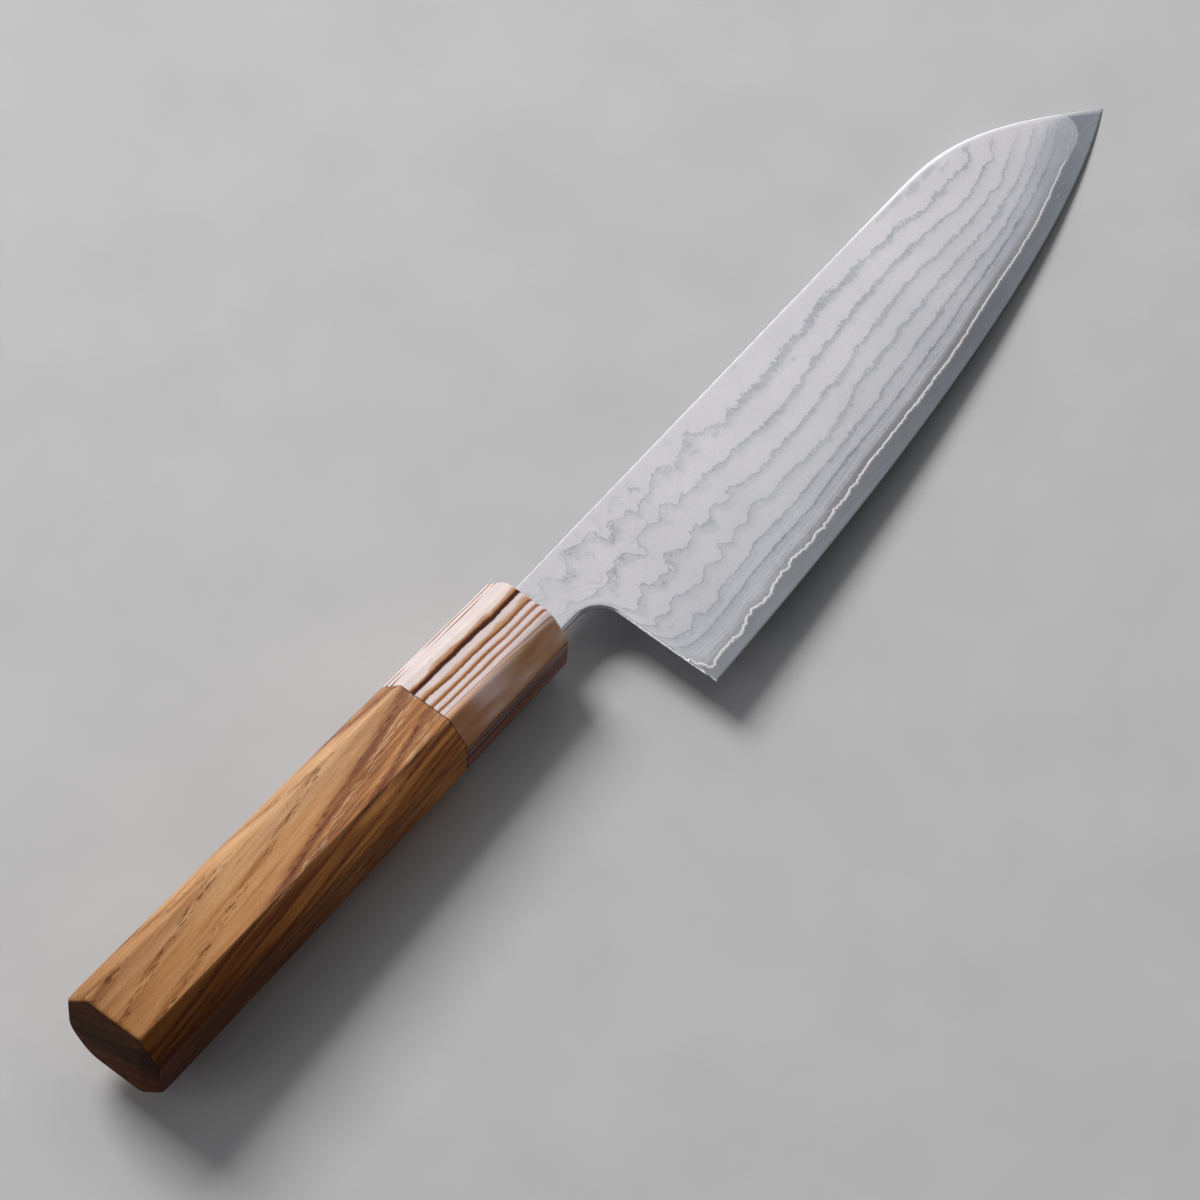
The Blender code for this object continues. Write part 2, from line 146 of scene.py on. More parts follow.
# Where the side layers end: along the edge at about 4 mm, up the heel's edge, and across to the spine at the tip.
BORDER = [(13.5, -29.6), (13.75, -31.8), (14.3, -34.0), (15.3, -36.0), (16.3, -35.95), (17.6, -35.35), (21.0, -35.45),
          (24.8, -35.45), (32.4, -34.3), (39.9, -33.85), (47.6, -32.9), (62.8, -31.9), (78.4, -30.2), (94.1, -28.65),
          (110.0, -26.95), (126.4, -24.1), (142.9, -21.35), (151.3, -19.45), (160.0, -16.9), (167.8, -14.6), (172.9, -13.4),
          (175.6, -11.5), (176.9, -8.9), (176.4, -6.4), (175.15, -4.97)]


def jag(s, seed, scale):
    """Torn unevenness along a line, between about -1 and 1."""
    return noise.noise(Vector((s / scale, seed, 0.37))) * 1.6


def border_curve():
    pts = through(BORDER, 0.16)
    d = np.gradient(pts, axis=0)
    n = np.stack([-d[:, 1], d[:, 0]], 1) / np.hypot(*d.T)[:, None]
    s = np.arange(len(pts)) * 0.16
    out = pts.copy()
    for i, (p, q) in enumerate(zip(pts, n)):
        x = p[0]
        coarse = 0.34 if x < 56 else 0.34 - 0.27 * min(1.0, (x - 56) / 30.0)
        fade = min(1.0, i / 14.0, (len(pts) - 1 - i) / 14.0)
        steps = jag(s[i], 2.3, 3.1)
        steps = math.copysign(min(1.0, abs(steps) * 1.5), steps)
        a = coarse * steps + 0.62 * coarse * jag(s[i], 7.9, 1.0) + 0.09 * jag(s[i], 3.1, 0.95) + 0.12 * jag(s[i], 12.1, 0.42)
        out[i] += q * a * fade
    return out


SPINE = np.vstack([np.column_stack([np.linspace(FACE_SPLIT_X - 2.5, SPINE_TURN_X, 276), spine_y(np.linspace(FACE_SPLIT_X - 2.5, SPINE_TURN_X, 276))]),
                   resample(spine_curve(200), 0.3)[1:]])
EDGE = resample(edge_curve(600), 0.3)
CHOIL = resample(choil_line(), 0.3)
CHOIL[0] = (FACE_SPLIT_X, NECK_Y)
BORDER_LINE = border_curve()
BORDER_LINE[0] = (HEEL_X, BORDER_LINE[0][1])


def tree(pts, step=0.05):
    fine = resample(pts, step)
    kd = KDTree(len(fine))
    for i, (x, y) in enumerate(fine):
        kd.insert((x, y, 0.0), i)
    kd.balance()
    return kd


NEAR_SPINE, NEAR_EDGE, NEAR_CHOIL, NEAR_BORDER = tree(SPINE), tree(EDGE), tree(CHOIL), tree(BORDER_LINE)


def dist_to(kd, pts):
    return np.array([kd.find((p[0], p[1], 0.0))[2] for p in pts])


def inside(pts, poly):
    """Which points lie in a closed outline."""
    pts, poly = np.asarray(pts, float), np.asarray(poly, float)
    res = np.zeros(len(pts), bool)
    a, b = poly, np.roll(poly, -1, axis=0)
    for i in range(0, len(pts), 1500):
        x, y = pts[i:i + 1500, 0][:, None], pts[i:i + 1500, 1][:, None]
        cross = (a[:, 1] > y) != (b[:, 1] > y)
        with np.errstate(divide="ignore", invalid="ignore"):
            xi = a[:, 0] + (y - a[:, 1]) / (b[:, 1] - a[:, 1]) * (b[:, 0] - a[:, 0])
        res[i:i + 1500] = (cross & (x < xi)).sum(1) % 2 == 1
    return res


# ---------------------------------------------------------------- ground shape of the blade
SPINE_ROUND, TIP_ROUND, HEEL_CUT = 0.34, 1.35, 0.38


def face_height(pts, d_spine, d_edge, d_choil):
    """Half thickness of the finished blade: flat ground, a fine secondary bevel at the edge, eased spine and heel."""
    x, y = pts[:, 0], pts[:, 1]
    h = half_thickness(x, y)
    end = np.clip((x - 158.0) / 20.0, 0.0, 1.0)
    end = end * end * (3.0 - 2.0 * end)
    h = h * (1.0 - 0.42 * end)
    t = np.clip((d_edge - 0.5) / (3.7 + 2.6 * end), 0.0, 1.0)
    ground = 0.085 + (h - 0.085) * ((1.0 - end) * t * (1.3 - 0.3 * t) + end * t * (2.0 - t))
    bevel = 0.012 + (0.085 - 0.012) * np.clip(d_edge / 0.5, 0.0, 1.0)
    z = np.where(d_edge < 0.5, bevel, ground)
    z = z - 0.06 * np.clip(1.0 - d_choil / 2.4, 0.0, 1.0)**2 * np.clip(d_edge / 4.0, 0.0, 1.0)
    rv = np.clip(0.62 * z, 0.03, 0.5)
    wide = np.clip((x - 116.0) / 38.0, 0.0, 1.0)
    wide = SPINE_ROUND + (TIP_ROUND - SPINE_ROUND) * wide * wide * (3.0 - 2.0 * wide)
    fade = np.clip(d_edge / 1.2, 0.0, 1.0)
    k = np.clip(1.0 - d_spine / wide, 0.0, 1.0)
    z = z - rv * (1.0 - np.sqrt(np.clip(1.0 - k * k, 0.0, 1.0))) * fade
    # small flat chamfer round the choil and down the heel line
    cut = np.clip(0.9 * z, 0.22, HEEL_CUT)
    return z - np.minimum(cut, 0.85 * z) * np.clip(1.0 - d_choil / cut, 0.0, 1.0) * fade


# ---------------------------------------------------------------- course of the layers on the right side (x, y)
LINE_A = [(2, 1.5), (8, 3.2), (14, 1.0), (20, 2.8), (26, 0.6), (31, 2.6), (34.4, -1.6), (38, 1.6), (43, 0.4), (47, 2.4), (50, -0.6), (53, 1.6),
          (57, 2.6), (61, 1.2), (65, -1.2), (70, -0.3), (74, 0.0), (77, -0.8), (84, 0.0), (89, 1.2), (93, 0.4), (100, 2.2), (108, 2.2),
          (116, 2.2), (124, 1.8), (130, 2.0), (133, 1.0), (138, 0.4), (148, 0.8), (152, 0.6), (154.4, 2.0), (155.6, 3.4), (159, 6.4), (166, 10), (190, 20)]
LINE_B = [(2, -4.4), (9, -5.2), (15, -7.2), (18, -7.8), (21.6, -6.9), (23.2, -5.1), (26.2, -5.6), (28.2, -9.2), (30.2, -5.3), (33.4, -4.2),
          (36.4, -5.8), (39.6, -4.0), (42.6, -6.8), (45.2, -5.5), (48.2, -7.6), (51, -5.6), (54, -6.6), (60, -7.0), (66, -7.6), (72, -7.8),
          (78, -7.6), (84, -6.8), (88, -5.6), (94, -5.2), (100, -4.4), (106, -3.8), (113, -3.4), (122, -3.0), (130, -3.6), (136, -4.2),
          (144, -4.6), (149, -4.0), (155, -2.0), (157, -2.8), (159, -0.4), (161.6, 0.8), (166, 4.0), (190, 16)]
LINE_C = [(2, -14.5), (13.5, -17.5), (16.4, -16.8), (19.4, -15.0), (21.6, -12.6), (24, -15.5), (28.8, -15.0), (30.8, -13.4), (35.2, -14.6),
          (40.4, -11.8), (43.2, -14.8), (46, -12.0), (49.6, -14.0), (53.2, -11.9), (56, -13.3), (60, -13.4), (68, -13.6), (74, -13.4), (80, -12.8),
          (85.6, -11.8), (88, -12.4), (94, -11.6), (98, -10.4), (104, -10.0), (110, -9.2), (122, -8.4), (132, -8.8), (140, -9.0), (148, -8.0), (153, -7.4),
          (160, -4.8), (165.6, -2.6), (170, 0.6), (190, 14)]
LINE_D = [(2, -20), (15.6, -22.0), (17.6, -19.6), (20, -21.4), (24, -19.8), (26, -21.6), (30.4, -22.0), (34, -20.2), (38, -21.3), (39.4, -19.2), (42, -20.9),
          (45.2, -18.2), (48, -20.1), (52, -18.0), (56, -19.7), (62, -19.4), (76, -19.6), (82, -18.8), (86, -17.8), (92, -16.2), (97, -15.8),
          (104, -15.4), (108, -14.4), (116, -14.2), (122, -13.2), (132, -12.8), (140, -12.8), (146, -12.2), (151, -10.8), (156, -10.2), (160, -8.8),
          (166, -6.0), (170, -3.9), (174, -0.5), (190, 10)]
LINE_E = [(2, -26), (17, -26.0), (20, -27.1), (23.6, -25.4), (24.8, -27.4), (29.6, -27.0), (32.4, -25.2), (37, -25.9), (42, -25.6), (44.8, -24.0), (50, -24.7),
          (62, -24.0), (74, -23.4), (82, -22.4), (90, -22.0), (95, -20.8), (102, -20.2), (108, -19.2), (114, -18.8), (122, -17.6), (132, -16.4),
          (140, -15.8), (148, -14.6), (154, -13.0), (160, -11.2), (168, -8.4), (172, -6.2), (176, -2.5), (190, 6)]
LINE_F = [(2, -29), (16, -29.4), (22, -29.9), (30, -29.5), (40, -28.2), (48, -27.8), (60, -27.6), (68, -26.6), (76, -25.8), (88, -25.0), (96, -24.2), (104, -23.2),
          (114, -22.0), (124, -20.2), (134, -19.0), (144, -17.4), (152, -15.8), (160, -13.6), (168, -10.8), (173, -8.2), (177, -4.5), (190, 2)]
LINE_G = [(2, -36.0), (17.4, -35.4), (24.8, -35.4), (32.4, -34.3), (39.9, -33.85), (47.6, -32.9), (62.8, -31.9), (78.4, -30.2), (94.1, -28.65), (110.0, -26.95),
          (126.4, -24.1), (142.9, -21.35), (151.3, -19.45), (160.0, -16.9), (167.8, -14.6), (173.4, -13.2), (176.0, -11.0), (179, -8.0), (190, 0)]
# short curls and loops near the heel and neck, where the hammered layers lie almost flat in the face
CURLS = [[(22.4, 6.0), (23.0, 3.6), (25.0, 1.9), (27.2, 2.8), (28.0, 5.6)], [(27.6, 4.8), (27.9, 2.4), (26.8, 0.4), (29.2, -0.6), (31.0, 0.6)],
         [(30.6, 2.0), (31.6, 4.0), (34.0, 5.2), (36.6, 4.4)], [(19.2, 1.6), (20.6, 2.3), (21.8, 0.6), (20.6, -0.9)], [(15.2, 3.6), (16.6, 5.0), (17.4, 2.8), (16.2, 1.6)],
         [(11.2, 2.4), (13.0, 3.4), (14.2, 1.6), (12.6, 0.4)], [(17.6, -2.6), (18.6, -4.4), (16.6, -5.6), (15.0, -3.4)], [(10.2, -1.6), (12.8, -2.6), (14.4, -5.4)],
         [(33.6, -4.4), (35.2, -3.6), (36.4, -4.6)], [(27.0, -6.6), (27.4, -8.9), (29.0, -9.2), (29.4, -7.0)], [(5.0, 2.8), (6.8, 1.2), (6.2, -1.6)], [(55.0, 0.8), (55.0, 2.4), (56.8, 3.0), (58.2, 1.8)],
         [(52.8, 0.0), (53.6, -1.2), (55.6, -1.2), (56.2, 0.4)], [(27.2, -17.8), (28.6, -18.4), (29.2, -20.0)], [(16.6, -20.8), (18.6, -21.8), (18.2, -23.8), (16.9, -22.6)]]
# small darker islands: x, y, half length, half height, strength
ISLANDS = [(38.8, -0.4, 1.1, 1.0, 1.0), (54.6, -0.2, 1.6, 0.8, 1.0), (61.2, -0.8, 1.5, 1.0, 1.0), (87.2, -1.6, 1.1, 0.8, 0.95), (20.8, 0.8, 1.2, 1.4, 0.8), (68.2, 1.0, 1.0, 0.8, 0.7),
           (129.5, 6.7, 4.0, 0.8, 0.85), (134.0, 6.6, 3.4, 1.0, 0.95), (139.5, 5.8, 3.2, 1.3, 1.0), (145.0, 6.0, 3.6, 1.0, 0.95), (148.6, 4.4, 2.4, 1.0, 0.9),
           (155.0, 3.6, 1.2, 1.3, 0.9), (77.0, 6.6, 2.6, 0.7, 0.8), (81.6, 5.8, 2.0, 0.6, 0.75), (65.0, 5.6, 1.6, 0.8, 0.6), (36.0, 5.2, 1.6, 1.0, 0.7), (52.8, 5.4, 1.6, 0.9, 0.7),
           (47.0, -3.4, 1.0, 0.8, 0.6), (25.0, -20.6, 1.4, 1.0, 0.8), (33.0, -20.8, 2.0, 1.0, 0.8), (28.8, -15.8, 1.8, 0.9, 0.6), (106.0, 1.2, 2.0, 0.9, 0.9)]
CURL_NEAR = None


def layer_rows(variant):
    """Height of each layer line over x, on a fine even grid; variant 1 is the other side of the blade."""
    grid = np.arange(-2.0, 190.0, 0.1)
    kernel = np.exp(-0.5 * (np.arange(-8, 9) / 3.2)**2)
    kernel /= kernel.sum()
    rows = [np.full(len(grid), 12.0)]
    for i, line in enumerate((LINE_A, LINE_B, LINE_C, LINE_D, LINE_E, LINE_F, LINE_G)):
        pts = np.array(line, float)
        y = np.interp(grid, pts[:, 0], pts[:, 1])
        if variant and i < 6:
            big = np.array([noise.noise(Vector((g / 17.0, 3.0 * i + 1.5, 9.2))) for g in grid])
            small = np.array([noise.noise(Vector((g / 4.2, 5.0 * i + 2.5, 4.2))) for g in grid])
            base = np.convolve(np.pad(y, 60, mode="edge"), np.ones(121) / 121.0, mode="valid")
            rough = np.interp(grid, [10, 40, 70, 190], [1.0, 0.9, 0.35, 0.3])
            y = base + (1.3 * big + 1.9 * small * rough) * [1.2, 1.1, 1.0, 0.9, 0.6, 0.3][i]
        y = np.convolve(np.pad(y, 8, mode="edge"), kernel, mode="valid")
        rows.append(y)
    for i in range(1, len(rows)):
        rows[i] = np.minimum(rows[i], rows[i - 1] - 0.7)
    return grid, rows


def layer_field(pts, d_choil, variant):
    """Layer number at each point (1 to 6 on the dark lines, 7 at the border) and millimetres per layer there."""
    grid, rows = layer_rows(variant)
    at = np.stack([np.interp(pts[:, 0], grid, r) for r in rows], 1)
    y = pts[:, 1]
    layer = np.zeros(len(pts))
    scale = np.full(len(pts), 5.0)
    for i in range(len(rows) - 1):
        hi, lo = at[:, i], at[:, i + 1]
        m = (y <= hi) & (y > lo)
        layer[m] = i + (hi[m] - y[m]) / (hi[m] - lo[m])
        scale[m] = hi[m] - lo[m]
    m = y <= at[:, -1]
    layer[m] = 7.0
    scale[m] = 4.0
    rise = np.clip(1.0 - d_choil / 2.8, 0.0, 1.0)
    layer = layer + 1.15 * rise**1.6 * np.clip((y + 34.0) / 6.0, 0.0, 1.0)
    return layer, np.clip(scale, 1.5, 6.5)


def set_attr(mesh, name, values):
    values = np.asarray(values, np.float32)
    kind = "FLOAT_VECTOR" if values.ndim == 2 else "FLOAT"
    a = mesh.attributes.new(name, kind, "POINT")
    a.data.foreach_set("vector" if values.ndim == 2 else "value", values.ravel())


def new_piece(name, co, faces, material, attrs=None, sharp=35.0):
    """Mesh object from knife-frame millimetres, with its knife-frame coordinates kept as an attribute."""
    mesh = bpy.data.meshes.new(name)
    mesh.from_pydata([tuple(p) for p in to_world(co)], [], [tuple(int(i) for i in f) for f in faces])
    mesh.update()
    set_attr(mesh, "kn", co)
    for key, values in (attrs or {}).items():
        set_attr(mesh, key, values)
    mesh.materials.append(material)
    mesh.shade_smooth()
    mesh.set_sharp_from_angle(angle=math.radians(sharp))
    obj = bpy.data.objects.new(name, mesh)
    bpy.context.scene.collection.objects.link(obj)
    return obj


def fill(outline, inner=(), lines=()):
    """Triangles that fill a closed outline through inner points and along open inner lines.
    Returns points, triangles (counter-clockwise) and the place of each outline point in the result."""
    verts = [Vector((float(p[0]), float(p[1]))) for p in outline]
    n = len(verts)
    edges = [(i, (i + 1) % n) for i in range(n)]
    for line in lines:
        start = len(verts)
        verts += [Vector((float(p[0]), float(p[1]))) for p in line]
        edges += [(start + i, start + i + 1) for i in range(len(line) - 1)]
    verts += [Vector((float(p[0]), float(p[1]))) for p in inner]
    co, _, faces, orig, _, _ = delaunay_2d_cdt(verts, edges, [], 1, 1e-5)
    pts = np.array([(c.x, c.y) for c in co])
    back = {}
    for i, o in enumerate(orig):
        for j in o:
            back[j] = i
    tri = []
    for f in faces:
        a, b, c = (pts[i] for i in f)
        area = (b[0] - a[0]) * (c[1] - a[1]) - (b[1] - a[1]) * (c[0] - a[0])
        if abs(area) > 1e-9:
            tri.append(tuple(f) if area > 0 else tuple(reversed(f)))
    return pts, tri, [back[i] for i in range(n)]


def lattice(x0, x1, y0, y1, step):
    rows = []
    dy = step * 0.8660254
    for j in range(int((y1 - y0) / dy) + 1):
        x = np.arange(x0 + (0.5 * step if j % 2 else 0.0), x1, step)
        rows.append(np.column_stack([x, np.full(len(x), y0 + j * dy)]))
    return np.vstack(rows)


def inward(line, d, side):
    """Line moved sideways by d; side 1 moves to the left of its direction."""
    t = np.gradient(line, axis=0)
    n = np.stack([-t[:, 1], t[:, 0]], 1) / np.maximum(np.hypot(*t.T), 1e-9)[:, None]
    return line + side * d * n


ROUND_ROWS = (0.04, 0.09, 0.16, 0.24, 0.34, 0.50, 0.70, 0.94, 1.24, 1.58)


def eased_rows(outline):
    """Rows of points close inside the spine, the choil and the heel line, for their rounding."""
    rows = []
    for line, side in ((SPINE, -1), (CHOIL, 1)):
        for d in ROUND_ROWS:
            rows.append(inward(resample(line, 0.45), d, side))
    rows = np.vstack(rows)
    return rows[inside(rows, outline)]


def layers_outline():
    """Closed outline of a side layer, counter-clockwise."""
    end = BORDER_LINE[-1]
    spine = SPINE[::-1]
    spine = spine[spine[:, 0] < end[0] - 0.15]
    heel = CHOIL[CHOIL[:, 1] > BORDER_LINE[0][1] + 0.15]
    tang = [p for i, p in enumerate(TANG) if 0 < i]
    return np.vstack([BORDER_LINE, spine, tang, heel])


def build_layer(name, side, material):
    outline = layers_outline()
    step = 0.46
    grid = lattice(2.4, 177.5, -36.5, 8.6, step)
    grid = grid[inside(grid, outline)]
    d_spine, d_choil, d_border = dist_to(NEAR_SPINE, grid), dist_to(NEAR_CHOIL, grid), dist_to(NEAR_BORDER, grid)
    grid = grid[(d_spine > 1.84) & (d_choil > 1.84) & (d_border > 0.22)]
    rows = eased_rows(outline)
    rows = rows[dist_to(NEAR_BORDER, rows) > 0.12]
    pts, tri, ring = fill(outline, np.vstack([grid, rows]))
    ds, de, dc, db = (dist_to(k, pts) for k in (NEAR_SPINE, NEAR_EDGE, NEAR_CHOIL, NEAR_BORDER))
    z = face_height(pts, ds, de, dc)
    n = len(pts)
    low_pts, low_tri, low_ring = fill(outline)
    m = len(low_pts)
    zin = np.full(m, CORE_HALF + 0.002)
    for a, b in zip(ring, low_ring):
        zin[b] = min(zin[b], z[a] - 0.02)
    co = np.vstack([np.column_stack([pts, z]), np.column_stack([low_pts, zin])])
    faces = list(tri) + [tuple(n + i for i in reversed(f)) for f in low_tri]
    k = len(ring)
    for i in range(k):
        j = (i + 1) % k
        faces.append((ring[i], n + low_ring[i], n + low_ring[j], ring[j]))
    allp = co[:, :2]
    layer, scale = layer_field(allp, dist_to(NEAR_CHOIL, allp), 0 if side > 0 else 1)
    curl = dist_to(CURL_NEAR, allp) if side > 0 else np.full(len(allp), 9.0)
    isl = np.zeros(len(allp))
    for x, y, ax, ay, k2 in ISLANDS:
        if side < 0:
            x, y = x + 5.3, y - 1.1
        isl = np.maximum(isl, k2 * np.exp(-0.7 * (((allp[:, 0] - x) / ax)**2 + ((allp[:, 1] - y) / ay)**2)))
    wild = np.interp(allp[:, 0], [0, 14, 46, 72, 120, 160, 180], [1.0, 0.85, 0.65, 0.13, 0.10, 0.16, 0.3])
    wild = wild * np.interp(allp[:, 1], [-34, -24, -12, 2], [0.15, 0.35, 0.8, 1.0])
    attrs = dict(layer=layer, scale=scale, curl=curl, island=isl, wild=wild, dborder=dist_to(NEAR_BORDER, allp),
                 dspine=dist_to(NEAR_SPINE, allp), dheel=dist_to(NEAR_CHOIL, allp))
    if side < 0:
        co = co * np.array([1.0, 1.0, -1.0])
        faces = [tuple(reversed(f)) for f in faces]
    return new_piece(name, co, faces, material, attrs)


def build_core(name, material):
    """Plate with the tang, bare along the edge, at the heel's edge and at the tip, ground down to a fine edge."""
    tang = [p for i, p in enumerate(TANG) if 0 < i]
    spine = SPINE[::-1][1:]
    outline = np.vstack([EDGE, spine, tang, CHOIL[:-1]])
    bare = np.vstack([EDGE, SPINE[::-1][SPINE[::-1][:, 0] > BORDER_LINE[-1][0] + 0.1][1:], BORDER_LINE[::-1][1:-1], [(HEEL_X, BORDER_LINE[0][1])]])
    line = BORDER_LINE[1:-1]
    under = inward(BORDER_LINE, 0.05, 1)[2:-2]
    rows = []
    for d in (0.12, 0.25, 0.38, 0.5, 0.62, 0.8, 1.05, 1.4, 1.8, 2.2, 2.7, 3.2):
        rows.append(inward(resample(EDGE, 0.4), d, 1))
    rows.append(lattice(168.0, 184.0, -15.0, -3.5, 0.4))
    rows.append(lattice(13.8, 16.0, -37.0, -29.0, 0.4))
    rows = np.vstack(rows)
    rows = rows[inside(rows, bare)]
    d = dist_to(NEAR_EDGE, rows)
    keep = (d > 0.1) & (dist_to(NEAR_BORDER, rows) > 0.14) & (dist_to(NEAR_CHOIL, rows) > 0.06) & (dist_to(NEAR_SPINE, rows) > 1.84)
    rows = rows[keep]
    eased = eased_rows(outline)
    eased = eased[inside(eased, bare)]
    eased = eased[(dist_to(NEAR_BORDER, eased) > 0.1) & (dist_to(NEAR_EDGE, eased) > 0.1)]
    pts, tri, ring = fill(outline, np.vstack([rows, eased]), [line, under])
    ds, de, dc, db = (dist_to(k, pts) for k in (NEAR_SPINE, NEAR_EDGE, NEAR_CHOIL, NEAR_BORDER))
    is_bare = inside(pts, bare) | (db < 0.02)
    is_bare |= (de < 0.02) | ((ds < 0.02) & (pts[:, 0] > BORDER_LINE[-1][0] + 0.05)) | ((dc < 0.02) & (pts[:, 1] < BORDER_LINE[0][1]))
    top = face_height(pts, ds, de, dc)
    z = np.where(is_bare, top - 0.012, np.minimum(CORE_HALF, top - 0.03))
    z = np.maximum(z, 0.006)
    n = len(pts)
    co = np.vstack([np.column_stack([pts, z]), np.column_stack([pts, -z])])
    faces = list(tri) + [tuple(n + i for i in reversed(f)) for f in tri]
    k = len(ring)
    for i in range(k):
        j = (i + 1) % k
        faces.append((ring[i], n + ring[i], n + ring[j], ring[j]))
    attrs = dict(dedge=np.tile(de, 2), dborder=np.tile(db, 2), dspine=np.tile(ds, 2), dheel=np.tile(dc, 2))
    return new_piece(name, co, faces, material, attrs, 25.0)


# ---------------------------------------------------------------- handle shapes
def mix(a, b, t):
    return {k: a[k] + (b[k] - a[k]) * t for k in a}


def inset(sec, d):
    w, h, cy, cz = sec["w"] / 2, sec["d"] / 2, sec["cy"], sec["cz"]
    n = math.hypot(cy, cz)
    c = (cz * w + cy * (h - cz)) / n - d
    y = (n * c - cy * (h - d)) / cz
    z = (n * c - cz * (w - d)) / cy
    return dict(w=2 * (w - d), d=2 * (h - d), cy=(w - d) - y, cz=(h - d) - z)


def octagon(sec, radius, arc, low_radius=None):
    """Rounded octagon section (y, z), counter-clockwise seen from +x; the two corners low on the spine side may be rounder."""
    w, h, cy, cz = sec["w"] / 2, sec["d"] / 2, sec["cy"], sec["cz"]
    corners = [(w, -h + cz), (w, h - cz), (w - cy, h), (-w + cy, h), (-w, h - cz), (-w, -h + cz), (-w + cy, -h), (w - cy, -h)]
    pts = []
    for i, p in enumerate(corners):
        a, b = corners[i - 1], corners[(i + 1) % 8]
        d1 = Vector((p[0] - a[0], p[1] - a[1])).normalized()
        d2 = Vector((b[0] - p[0], b[1] - p[1])).normalized()
        turn = math.atan2(d1.x * d2.y - d1.y * d2.x, d1.dot(d2))
        r = low_radius if low_radius is not None and i in (0, 7) else radius
        t = r * math.tan(turn / 2)
        start = Vector(p) - d1 * t
        centre = start + Vector((-d1.y, d1.x)) * r
        arm = start - centre
        for k in range(arc + 1):
            ang = turn * k / arc
            ca, sa = math.cos(ang), math.sin(ang)
            pts.append((centre.x + arm.x * ca - arm.y * sa, centre.y + arm.x * sa + arm.y * ca))
    return pts


def loft(rings):
    """Closed body through rings of equal point count: points and faces, faces outward."""
    n = len(rings[0][1])
    verts, faces = [], []
    for x, pts in rings:
        verts += [(x, y, z) for y, z in pts]
    for r in range(len(rings) - 1):
        for i in range(n):
            j = (i + 1) % n
            faces.append((r * n + i, r * n + j, (r + 1) * n + j, (r + 1) * n + i))
    faces.append(tuple(reversed(range(n))))
    last = (len(rings) - 1) * n
    faces.append(tuple(range(last, last + n)))
    return np.array(verts), faces


def cutter(name, verts, faces):
    mesh = bpy.data.meshes.new(name)
    mesh.from_pydata([tuple(p) for p in to_world(np.array(verts, float))], [], faces)
    mesh.update()
    obj = bpy.data.objects.new(name, mesh)
    bpy.context.scene.collection.objects.link(obj)
    return obj


def round_cutter(name, radius, x0, x1, n=64):
    v = [(x, radius * math.cos(2 * math.pi * (i + 0.5) / n), radius * math.sin(2 * math.pi * (i + 0.5) / n)) for x in (x0, x1) for i in range(n)]
    f = [(i, (i + 1) % n, n + (i + 1) % n, n + i) for i in range(n)] + [tuple(reversed(range(n))), tuple(range(n, 2 * n))]
    return cutter(name, v, f)


def slot_cutter(name, x0, x1, hy, hz, r):
    """Slot with rounded corners, along x."""
    sec = []
    for cy, cz, a0 in ((hy - r, hz - r, 0), (-hy + r, hz - r, 90), (-hy + r, -hz + r, 180), (hy - r, -hz + r, 270)):
        for i in range(7):
            a = math.radians(a0 + 15 * i)
            sec.append((cy + r * math.cos(a), cz + r * math.sin(a)))
    n = len(sec)
    v = [(x, y, z) for x in (x0, x1) for y, z in sec]
    f = [(i, (i + 1) % n, n + (i + 1) % n, n + i) for i in range(n)] + [tuple(reversed(range(n))), tuple(range(n, 2 * n))]
    return cutter(name, v, f)


def carve(name, verts, faces, tools, material, sharp=30.0):
    """Cuts the tools out of a body and returns the finished piece."""
    base = cutter(name + "_raw", verts, faces)
    for t in tools:
        mod = base.modifiers.new(t.name, "BOOLEAN")
        mod.operation = "DIFFERENCE"
        mod.solver = "EXACT"
        mod.object = t
    bpy.context.view_layer.update()
    mesh = bpy.data.meshes.new_from_object(base.evaluated_get(bpy.context.evaluated_depsgraph_get()))
    for o in [base] + tools:
        bpy.data.objects.remove(o, do_unlink=True)
    mesh.name = name
    co = np.zeros(len(mesh.vertices) * 3)
    mesh.vertices.foreach_get("co", co)
    set_attr(mesh, "kn", to_knife(co.reshape(-1, 3)))
    mesh.materials.clear()
    mesh.materials.append(material)
    mesh.shade_smooth()
    mesh.set_sharp_from_angle(angle=math.radians(sharp))
    obj = bpy.data.objects.new(name, mesh)
    bpy.context.scene.collection.objects.link(obj)
    return obj


def build_ferrule(material):
    rings = []
    steps = 26
    for i in range(steps + 1):
        t = i / steps
        x = -FERRULE_L + (FERRULE_L - RIM_R) * t
        ease = t * t * (3 - 2 * t)
        r = FERRULE_R_JOINT + (FERRULE_R_FRONT - FERRULE_R_JOINT) * ease
        sec = mix(JOINT, FRONT, (x + FERRULE_L) / FERRULE_L)
        if i == 0:
            rings.append((x, octagon(inset(sec, 0.12), r - 0.12, 10)))
            x += 0.12
        rings.append((x, octagon(sec, r, 10)))
    for i in range(1, 11):
        a = math.radians(90.0 * i / 10)
        d = RIM_R * (1 - math.cos(a))
        x = -RIM_R + RIM_R * math.sin(a)
        rings.append((x, octagon(inset(mix(JOINT, FRONT, (x + FERRULE_L) / FERRULE_L), d), FERRULE_R_FRONT - d, 10)))
    v, f = loft(rings)
    tools = [round_cutter("bore_a", BORE_R, -FERRULE_L - 2.0, -FERRULE_WALL), slot_cutter("mouth", -FERRULE_WALL - 1.0, 1.0, MOUTH_HALF_Y, MOUTH_HALF_Z, 0.5)]
    return carve("striped_ferrule", v, f, tools, material, 28.0)


